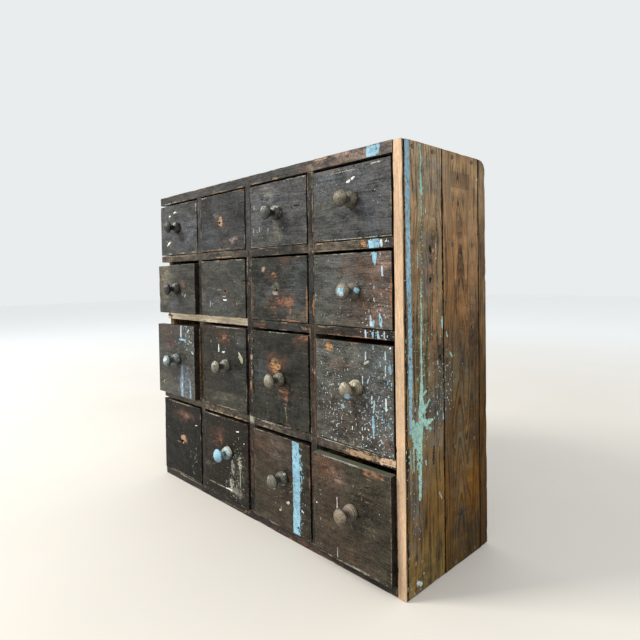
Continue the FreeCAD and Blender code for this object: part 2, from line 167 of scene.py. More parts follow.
# ---------------------------------------------------------------- meshes
def make_piece(name, body, material, points, faces, fields=None):
    """A smooth-shaded mesh piece that rides on a body. Points and fields are given per vertex."""
    mesh = bpy.data.meshes.new(name)
    faces = np.asarray(faces, np.int32)
    mesh.vertices.add(len(points))
    mesh.vertices.foreach_set("co", (np.asarray(points) * MM).astype(np.float32).ravel())
    mesh.loops.add(faces.size)
    mesh.loops.foreach_set("vertex_index", faces.ravel())
    mesh.polygons.add(len(faces))
    starts = np.arange(0, faces.size, faces.shape[1], dtype=np.int32)
    mesh.polygons.foreach_set("loop_start", starts)
    mesh.update(calc_edges=True)
    mesh.polygons.foreach_set("use_smooth", np.ones(len(faces), bool))
    for field, values in (fields or {}).items():
        values = np.asarray(values, np.float32)
        if values.ndim == 1:
            mesh.attributes.new(field, "FLOAT", "POINT").data.foreach_set("value", values)
        elif field in ("coat", "patch"):
            colour = np.column_stack([values, np.ones(len(values), np.float32)])
            mesh.attributes.new(field, "FLOAT_COLOR", "POINT").data.foreach_set(
                "color", colour.astype(np.float32).ravel())
        else:
            mesh.attributes.new(field, "FLOAT_VECTOR", "POINT").data.foreach_set(
                "vector", values.ravel())
    mesh.validate()
    mesh.materials.append(material)
    piece = bpy.data.objects.new(name, mesh)
    bpy.context.scene.collection.objects.link(piece)
    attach(piece, body)
    return piece


EDGE_STEPS = (0.0, 0.35, 0.8, 1.4, 2.2, 3.2, 4.6)
HOLE_RADIUS = 2.2
HOLE_STEPS = (0.0, 0.73, 1.47, 2.2, 2.9, 3.8, 5.0, 6.5)


def grid_lines(low, high, spacing, hole=None):
    """Places along one side of a board: close together near its ends and round its hole."""
    steps = np.array([s for s in EDGE_STEPS if s < 0.3 * (high - low)])
    inner_low, inner_high = low + steps[-1], high - steps[-1]
    inner = np.linspace(inner_low, inner_high, max(3, int((high - low) / spacing)))
    if hole is not None:
        reach = HOLE_STEPS[-1]
        inner = inner[np.abs(inner - hole) > reach + 0.4]
        around = np.array(HOLE_STEPS)
        inner = np.concatenate([inner, hole + around, hole - around])
    return np.unique(np.round(np.concatenate([low + steps, inner, high - steps]), 4))


def box_grid(lines):
    """The six gridded faces of a box as shared vertices and quads, and each vertex's lines."""
    counts = [len(line) for line in lines]
    quads = []
    for axis in range(3):
        b, c = (axis + 1) % 3, (axis + 2) % 3
        i, j = np.meshgrid(np.arange(counts[b] - 1), np.arange(counts[c] - 1), indexing="ij")
        for end in (0, counts[axis] - 1):
            corners = []
            for di, dj in ((0, 0), (1, 0), (1, 1), (0, 1)):
                index = np.zeros((3, i.size), int)
                index[axis], index[b], index[c] = end, (i + di).ravel(), (j + dj).ravel()
                corners.append(np.ravel_multi_index(index, counts))
            quad = np.stack(corners, 1)
            quads.append(quad if end else quad[:, ::-1])
    ids, faces = np.unique(np.concatenate(quads), return_inverse=True)
    index = np.stack(np.unravel_index(ids, counts), 1)
    points = np.stack([lines[a][index[:, a]] for a in range(3)], 1)
    return points, faces.reshape(-1, 4), index


def open_hole(points, faces, index, lines, hole):
    """Cuts a round hole through a board along Y, at hole = (x, z). Both faces share a grid."""
    away = points[:, (0, 2)] - np.array(hole)
    square = np.abs(away).max(1)
    length = np.maximum(np.hypot(away[:, 0], away[:, 1]), 1e-9)
    flat = (index[:, 1] == 0) | (index[:, 1] == len(lines[1]) - 1)
    pull = np.where(flat, smooth(HOLE_STEPS[-1], HOLE_RADIUS, square), 0)[:, None]
    round_place = away * (square / length)[:, None]
    points[:, (0, 2)] += (round_place - away) * pull
    middle = np.abs(away[faces].mean(1)).max(1)
    faces = faces[~((middle < HOLE_RADIUS) & flat[faces].all(1))]
    rim = {}
    for vertex in np.nonzero(flat & (np.abs(square - HOLE_RADIUS) < 0.01))[0]:
        rim.setdefault((index[vertex, 0], index[vertex, 2]), {})[index[vertex, 1] == 0] = vertex
    around = sorted(rim, key=lambda k: math.atan2(
        lines[2][k[1]] - hole[1], lines[0][k[0]] - hole[0]))
    wall = [(rim[a][True], rim[a][False], rim[b][False], rim[b][True])
            for a, b in zip(around, around[1:] + around[:1])]
    faces = np.concatenate([faces, np.array(wall)])
    used = np.unique(faces)
    renumber = np.zeros(len(points), int)
    renumber[used] = np.arange(len(used))
    return points[used], renumber[faces]


def worn_box(points, low, high, radius):
    """Rounds a gridded box's edges by one radius per vertex. Returns points and directions out."""
    r = np.minimum(radius, 0.49 * (high - low).min())[:, None]
    core = np.clip(points, low + r, high - r)
    out = points - core
    out /= np.maximum(np.linalg.norm(out, axis=1, keepdims=True), 1e-9)
    return core + out * r, out


def bare_normal(points, low, high):
    """The face that each vertex of a box lies nearest to, as its direction out."""
    gaps = np.concatenate([points - low, high - points], 1)
    face = gaps.argmin(1)
    normal = np.zeros((len(points), 3))
    normal[np.arange(len(points)), face % 3] = np.where(face < 3, -1, 1)
    return normal


def edge_gap(points, low, high):
    """How far each vertex on a box's surface is from the nearest edge of the box."""
    gaps = np.sort(np.minimum(points - low, high - points), axis=1)
    return gaps[:, 1]


# ---------------------------------------------------------------- grain and wear
def grain_place(points, along, knots, arch, seed):
    """Coordinates that follow the fibres: along, across and through, bent round the knots.

    A knot is (along, across, radius) on the board's main face. An arch is (across, half width,
    slope): a strip where the fibres run as nested pointed arches.
    """
    order = {0: (0, 2, 1), 1: (1, 0, 2), 2: (2, 1, 0)}[along]
    place = points[:, order].copy()
    bend = rough(points, 90, seed, 2) - 0.5
    place[:, 1] += 14 * bend
    if arch:
        middle, half, slope = arch
        off = place[:, 1] - middle
        nested = middle + np.sqrt(off**2 + 16) + slope * place[:, 0]
        share = smooth(half, 0.4 * half, np.abs(off))
        place[:, 1] += (nested - place[:, 1]) * share
    for a0, c0, radius in knots:
        a, c = points[:, order[0]] - a0, points[:, order[1]] - c0
        width = radius * np.exp(-((a / (3.2 * radius)) ** 2))
        width *= np.exp(-((c / (4.5 * radius)) ** 2))
        place[:, 1] -= np.sign(c) * np.minimum(np.abs(c), width)
        inside = smooth(1.15, 0.75, np.hypot(a / 1.25, c) / radius)
        ring = 1.7 * np.hypot(a / 1.25, c)
        place[:, 1] = place[:, 1] * (1 - inside) + (c0 + ring) * inside
        place[:, 0] = place[:, 0] * (1 - inside) + 6 * inside
    place[:, 1] += 37.0 * (seed % 11)
    place[:, 0] += 613.0 * (seed % 7)
    return place


# Patches weaker than WASH are stains. The rest are chips, whose strength sets how whole they are.
WASH = 0.75
CHIP_STRENGTH = ((0.75, 1.0, 2.0), (0.52, 0.86, 2.0))


def blobs(points, axes, patches, seed):
    """How far each patch covers each vertex, as rows of (tint, cover, strength, depth).

    A patch is a chip with a hard, ragged border, or below a strength of WASH a soft stain.
    """
    found = []
    for number, (tint, a, b, half_a, half_b, strength, *depth) in enumerate(patches):
        da = (points[:, axes[0]] - a) / half_a
        db = (points[:, axes[1]] - b) / half_b
        reach = np.hypot(da, db)
        near = reach < 2.4
        cover = np.zeros(len(points))
        size = min(half_a, half_b) * 0.9 + 1.5
        ragged = rough(points[near], size, seed + 7 * number) - 0.5
        if strength < WASH:
            mottle = rough(points[near], (9.0, 9.0, 5.0), seed + 7 * number + 3)
            soft = smooth(1.7, 0.2, reach[near] + 1.8 * ragged)
            cover[near] = soft * (0.25 + 0.75 * smooth(0.36, 0.62, mottle))
        else:
            cover[near] = smooth(1.25, 0.7, reach[near] + 1.3 * ragged)
        found.append((tint, cover, strength, depth[0] if depth else 0.0))
    return found


def finish_board(points, low, high, look, seed):
    """Rounds, wears and dents a gridded board, and works out its colours and grain.

    look holds: along (grain axis), face (the outward face that patches lie on, as an axis and a
    sign), coat or fade (colours by height), patches, knots, wear (edge radius), relief (depth of
    the grain), edge (tint and strength of the bare edges) and soft (how far the edges are worn
    bare). It may hold: worn_from (the depth behind which edges stay sharp), cloud (how uneven the
    coat is), ghosts (square stains), other_faces (the coat of the other faces), bare_faces (faces
    in one tint), speck, blisters, arch, slump (how far the top left corner has sunk) and
    rear_round (the radius of the top rear edge).
    """
    along, (axis, sign) = look["along"], look["face"]
    axes = [a for a in range(3) if a != axis]
    chips = rough(points, 26, seed + 1)
    radius = look["wear"] * (0.45 + 2.6 * smooth(0.52, 0.85, chips))
    reach = look.get("worn_from")
    if reach is not None:
        radius = 0.25 + radius * smooth(reach, low[1], points[:, 1])
    shaped, out = worn_box(points, low, high, radius)
    normal = bare_normal(points, low, high)
    on_face = normal[:, axis] * sign > 0.5

    stretch = np.full(3, 2.4)
    stretch[along] = 46.0
    fibre = rough(points, stretch, seed + 2, 3)
    dips = rough(points, 9, seed + 3, 3)
    depth = look["relief"] * (0.25 + 0.9 * fibre + 1.3 * smooth(0.62, 0.8, dips))
    depth += 0.35 * noise(points, 110, seed + 4)
    depth += look.get("blisters", 0.0) * smooth(0.5, 0.8, noise(points, 6.5, seed + 10))

    if "fade" in look:
        heights, tones = zip(*look["fade"])
        tones = linear(tones)
        coat = np.stack([np.interp(points[:, 2], heights, tones[:, c]) for c in range(3)], 1)
    else:
        coat = np.tile(linear(look["coat"]), (len(points), 1))
    cloud = look.get("cloud", 0.55)
    coat *= (1 - cloud + 2 * cloud * rough(points, (52, 34, 34), seed + 5, 4))[:, None]
    edge_tint, edge_strength = look["edge"]
    gap = edge_gap(points, low, high)
    band = look["soft"] * (0.25 + 2.4 * smooth(0.38, 0.8, rough(points, 18, seed + 6)))
    amount = edge_strength * smooth(1.0, 0.1, gap / band)
    if reach is not None:
        amount *= smooth(reach, low[1], points[:, 1])
    patch = np.tile(linear(TINTS[edge_tint]), (len(points), 1))
    patch *= (0.5 + 0.9 * noise(points, 21, seed + 7))[:, None]
    for tint, cover, strength, deep in blobs(points, axes, look["patches"], seed + 40):
        cover = cover * on_face
        if strength < WASH:
            tint_over(coat, tint, strength * cover)
        else:
            tint_over(patch, tint, smooth(0, 0.35, cover))
            amount = np.maximum(amount, cover * np.interp(strength, *CHIP_STRENGTH))
        depth += deep * smooth(0.35, 0.8, cover)
    for tint, a, b, half_a, half_b, strength in look.get("ghosts", ()):
        across = np.abs(points[:, axes[0]] - a) / half_a
        up = np.abs(points[:, axes[1]] - b) / half_b
        cover = strength * on_face * smooth(1.08, 0.94, np.maximum(across, up))
        tint_over(coat, tint, cover)
    if "other_faces" in look:
        others = linear(look["other_faces"]) * (0.6 + 0.8 * rough(points, 30, seed + 8))[:, None]
        coat = np.where(on_face[:, None], coat, others)
    for (face_axis, face_sign), tint in look.get("bare_faces", ()):
        there = normal[:, face_axis] * face_sign > 0.5
        tone = linear(TINTS[tint]) * (0.75 + 0.5 * rough(points, (30, 30, 60), seed + 9))[:, None]
        coat = np.where(there[:, None], tone, coat)
        patch = np.where(there[:, None], tone, patch)
        amount = np.where(there, 1.2, amount)
    depth = np.clip(depth, 0.02, 0.45 * (high - low).min())
    speck = look.get("speck", 0.15) * smooth(0.3, 0.65, rough(points, 40, seed + 11)) * on_face
    fields = {"coat": coat, "patch": patch, "amount": amount, "speck": speck,
              "grain": grain_place(points, along, look["knots"], look.get("arch"), seed)}
    shaped -= out * depth[:, None]
    if "slump" in look:
        share = (high - points) / (high - low)
        shaped[:, 2] -= look["slump"] * share[:, 0] * (1 - share[:, 2])
    if "rear_round" in look:
        round_rear_arris(shaped, high, look["rear_round"])
    return shaped, fields


def round_rear_arris(points, high, radius):
    """Brings a board's top rear edge onto a large round."""
    away = points[:, 1:] - (high[1:] - radius)
    length = np.hypot(away[:, 0], away[:, 1])
    beyond = (away > 0).all(1) & (length > radius)
    points[beyond, 1:] += away[beyond] * (radius / length[beyond] - 1)[:, None]


def boards(name, body, material, parts, look, seed, spacing, hole=None):
    """One or more boards, or the lapped parts of one, as a single piece.

    Spacing is the grid's step along X, Y and Z, and hole the place (x, z) of a hole along Y. A
    look with one_board makes the parts wear and look like one board.
    """
    all_points, all_faces, all_fields, start = [], [], [], 0
    around = (hole[0], None, hole[1]) if hole else (None, None, None)
    for number, (low, high) in enumerate(parts):
        low, high = np.asarray(low, float), np.asarray(high, float)
        lines = [grid_lines(low[a], high[a], spacing[a], around[a]) for a in range(3)]
        points, faces, index = box_grid(lines)
        if hole:
            points, faces = open_hole(points, faces, index, lines, hole)
        step = 0 if look.get("one_board") else BOARD_STEP * number
        shaped, fields = finish_board(points, low, high, look, seed + step)
        all_points.append(shaped)
        all_faces.append(faces + start)
        all_fields.append(fields)
        start += len(points)
    fields = {k: np.concatenate([f[k] for f in all_fields]) for k in all_fields[0]}
    return make_piece(name, body, material, np.concatenate(all_points),
                      np.concatenate(all_faces), fields)


# ---------------------------------------------------------------- materials
class Nodes:
    """A short way to write a material's nodes: calling it adds one node and gives its output."""

    def __init__(self, name):
        self.material = bpy.data.materials.new(name)
        self.material.use_nodes = True
        self.tree = self.material.node_tree
        self.shader = self.tree.nodes["Principled BSDF"]

    def __call__(self, kind, output=0, settings=None, **inputs):
        node = self.tree.nodes.new("ShaderNode" + kind)
        for key, value in (settings or {}).items():
            setattr(node, key, value)
        for key, value in inputs.items():
            self.plug(node, int(key[1:]) if key[0] == "i" and key[1:].isdigit() else key, value)
        return node.outputs[output]

    def plug(self, node, key, value):
        socket = node.inputs[key]
        if isinstance(value, bpy.types.NodeSocket):
            self.tree.links.new(value, socket)
        else:
            socket.default_value = value

    def field(self, name, output="Fac"):
        return self("Attribute", output, {"attribute_name": name})

    def sum(self, *terms):
        total = terms[0]
        for term in terms[1:]:
            total = self("Math", 0, {"operation": "ADD"}, i0=total, i1=term)
        return total

    def product(self, a, b):
        return self("Math", 0, {"operation": "MULTIPLY"}, i0=a, i1=b)

    def ramp(self, value, low, high, to_low=0.0, to_high=1.0):
        return self("MapRange", 0, {"interpolation_type": "SMOOTHSTEP"}, Value=value,
                    **{"From Min": low, "From Max": high, "To Min": to_low, "To Max": to_high})

    def stretch(self, vector, amounts):
        return self("VectorMath", 0, {"operation": "MULTIPLY"}, i0=vector, i1=amounts)

    def noise(self, vector, scale=1.0, detail=3.0, roughness=0.55, distortion=0.0):
        return self("TexNoise", 0, None, Vector=vector, Scale=scale, Detail=detail,
                    Roughness=roughness, Distortion=distortion)

    def tinted(self, colour, amount):
        """The colour made lighter or darker by a number round 1."""
        return self("VectorMath", 0, {"operation": "SCALE"}, i0=colour, Scale=amount)

    def mix(self, factor, a, b):
        node = self.tree.nodes.new("ShaderNodeMix")
        node.data_type = "RGBA"
        for key, value in ((0, factor), (6, a), (7, b)):
            self.plug(node, key, value)
        return node.outputs[2]


def aged_wood(name, rings, fibres, blotches, grit, streaks, lines, specks, gloss, roughness,
              bump):
    """Old wood or old paint on wood, from the coat, patch, amount and grain fields.

    rings, fibres, blotches and grit darken and lighten the coat, streaks redden it along the grain,
    lines are fine pale scratches and specks are tiny pale spots.
    """
    n = Nodes(name)
    grain = n.field("grain", "Vector")
    contour = n.noise(n.stretch(grain, (0.0045, 0.085, 0.05)), 1.0, 2.0, 0.45, 0.35)
    ring = n("Math", 0, {"operation": "PINGPONG"}, i0=n.product(contour, 9.0), i1=1.0)
    ring = n.ramp(ring, 0.35, 1.0)
    fibre = n.noise(n.stretch(grain, (0.02, 0.9, 0.9)), 1.0, 4.0, 0.65)
    fine = n.noise(n.stretch(grain, (0.09, 2.6, 2.6)), 1.0, 3.0, 0.6)
    blotch = n.noise(n.stretch(grain, (0.04, 0.07, 0.07)), 1.0, 5.0, 0.62, 0.4)
    scuff = n.noise(n.stretch(grain, (0.16, 0.3, 0.3)), 1.0, 5.0, 0.7, 0.6)
    warm = n.noise(n.stretch(grain, (0.007, 0.11, 0.11)), 1.0, 4.0, 0.6, 0.3)
    sand = n.noise(n.stretch(grain, (0.4, 0.52, 0.52)), 1.0, 3.0, 0.7)
    shade = n.sum(
        n.ramp(ring, 0.0, 1.0, 1.0 + 0.5 * rings, 1.0 - rings),
        n.ramp(fibre, 0.3, 0.7, -fibres, fibres),
        n.ramp(blotch, 0.3, 0.7, -blotches, blotches),
        n.ramp(scuff, 0.3, 0.7, -0.6 * blotches, 0.6 * blotches),
        n.ramp(sand, 0.3, 0.7, -grit, grit))
    coat = n.tinted(n.field("coat", "Color"), n("Math", 0, {"operation": "MAXIMUM"},
                                               i0=shade, i1=0.18))
    reddened = n.stretch(coat, (1.3, 0.98, 0.74))
    coat = n.mix(n.ramp(warm, 0.46, 0.66, 0.0, streaks), coat, reddened)
    scratch = n.ramp(fine, 0.66, 0.76, 0.0, lines)
    coat = n.mix(scratch, coat, (*linear((120, 116, 106)), 1.0))
    patch_shade = n.sum(n.ramp(fibre, 0.25, 0.75, 0.74, 1.16), n.ramp(scuff, 0.3, 0.7, -0.12, 0.12))
    patch = n.tinted(n.field("patch", "Color"), patch_shade)
    worn = n.sum(n.field("amount"), n.ramp(fibre, 0.2, 0.8, -0.4, 0.4),
                 n.ramp(scuff, 0.25, 0.75, -0.4, 0.4))
    mask = n.ramp(worn, 0.4, 0.66)
    colour = n.mix(mask, coat, patch)
    if specks:
        cells = n.tree.nodes.new("ShaderNodeTexVoronoi")
        n.plug(cells, "Vector", n.stretch(grain, (0.2, 0.2, 0.2)))
        n.plug(cells, "Scale", 1.0)
        n.plug(cells, "Randomness", 1.0)
        lucky = n("SeparateColor", 0, None, Color=cells.outputs["Color"])
        size = n.ramp(lucky, 1.0 - 0.3 * specks, 1.0, 0.0, 0.17)
        dot = n("Math", 0, {"operation": "LESS_THAN"}, i0=cells.outputs["Distance"], i1=size)
        colour = n.mix(n.product(dot, n.field("speck")), colour, (*linear(TINTS["ice"]), 1.0))
    n.plug(n.shader, "Base Color", colour)
    rough_value = n.sum(n.ramp(blotch, 0.3, 0.7, roughness - 0.13, roughness + 0.13),
                        n.product(mask, 0.14))
    n.plug(n.shader, "Roughness", rough_value)
    n.shader.inputs["Specular IOR Level"].default_value = gloss
    height = n.sum(n.product(fibre, 0.9), n.product(fine, 0.35), n.product(ring, -0.5),
                   n.product(scuff, 0.7), n.product(sand, 0.5), n.product(mask, -0.25))
    relief = n("Bump", 0, None, Strength=0.8, Distance=bump * MM, Height=height)
    n.plug(n.shader, "Normal", relief)
    return n.material


def spilt_paint(name):
    """Old spilt paint in the colour of its coat field, uneven, scuffed and flaked in places."""
    n = Nodes(name)
    place = n("TexCoord", 3)
    cloud = n.noise(place, 160.0, 4.0)
    dirt = n.noise(place, 420.0, 4.0, 0.7)
    flake = n.noise(n.stretch(place, (1.0, 1.0, 0.5)), 330.0, 4.0, 0.65)
    colour = n.tinted(n.field("coat", "Color"), n.ramp(cloud, 0.35, 0.7, 1.05, 0.7))
    colour = n.mix(n.ramp(dirt, 0.52, 0.7, 0.0, 0.5), colour, (*linear(TINTS["tan"]), 1.0))
    colour = n.mix(n.ramp(flake, 0.6, 0.66, 0.0, 0.8), colour, (*linear(TINTS["char"]), 1.0))
    n.plug(n.shader, "Base Color", colour)
    n.plug(n.shader, "Roughness", n.ramp(cloud, 0.3, 0.7, 0.45, 0.65))
    n.shader.inputs["Specular IOR Level"].default_value = 0.3
    n.plug(n.shader, "Normal", n("Bump", 0, None, Strength=0.5, Distance=0.25 * MM, Height=dirt))
    return n.material


def rusty_iron(name, dark, light, metal):
    """Nails and screws: rust between two colours, with a few worn, greyer places."""
    n = Nodes(name)
    place = n("TexCoord", 3)
    crust = n.noise(place, 900.0, 5.0, 0.7)
    worn = n.noise(place, 260.0, 3.0)
    colour = n.mix(n.ramp(crust, 0.35, 0.65), (*linear(dark), 1.0), (*linear(light), 1.0))
    colour = n.mix(n.ramp(worn, 0.56, 0.7, 0.0, 0.5), colour, (*linear((84, 78, 70)), 1.0))
    n.plug(n.shader, "Base Color", colour)
    n.plug(n.shader, "Roughness", n.ramp(crust, 0.3, 0.7, 0.5, 0.85))
    n.shader.inputs["Metallic"].default_value = metal
    n.plug(n.shader, "Normal", n("Bump", 0, None, Strength=0.7, Distance=0.3 * MM, Height=crust))
    return n.material


BLACK = aged_wood("black_paint", rings=0.1, fibres=0.26, blotches=0.42, grit=0.46, streaks=0.12,
                  lines=0.12, specks=1.0, gloss=0.1, roughness=0.42, bump=0.55)
SIDE = aged_wood("side_wood", rings=0.42, fibres=0.32, blotches=0.28, grit=0.14, streaks=0.34,
                 lines=0.05, specks=0.5, gloss=0.1, roughness=0.66, bump=0.6)
PINE = aged_wood("pine", rings=0.2, fibres=0.16, blotches=0.1, grit=0.06, streaks=0.15,
                 lines=0.1, specks=0.0, gloss=0.25, roughness=0.66, bump=0.35)
KNOB = aged_wood("knob_wood", rings=0.1, fibres=0.2, blotches=0.35, grit=0.32, streaks=0.2,
                 lines=0.1, specks=0.4, gloss=0.34, roughness=0.28, bump=0.36)
IRON = rusty_iron("rusty_iron", (58, 40, 30), (110, 70, 44), 0.55)
SUNK_IRON = rusty_iron("sunk_nails", (70, 56, 40), (98, 78, 54), 0.0)
PAINT = spilt_paint("spilt_paint")

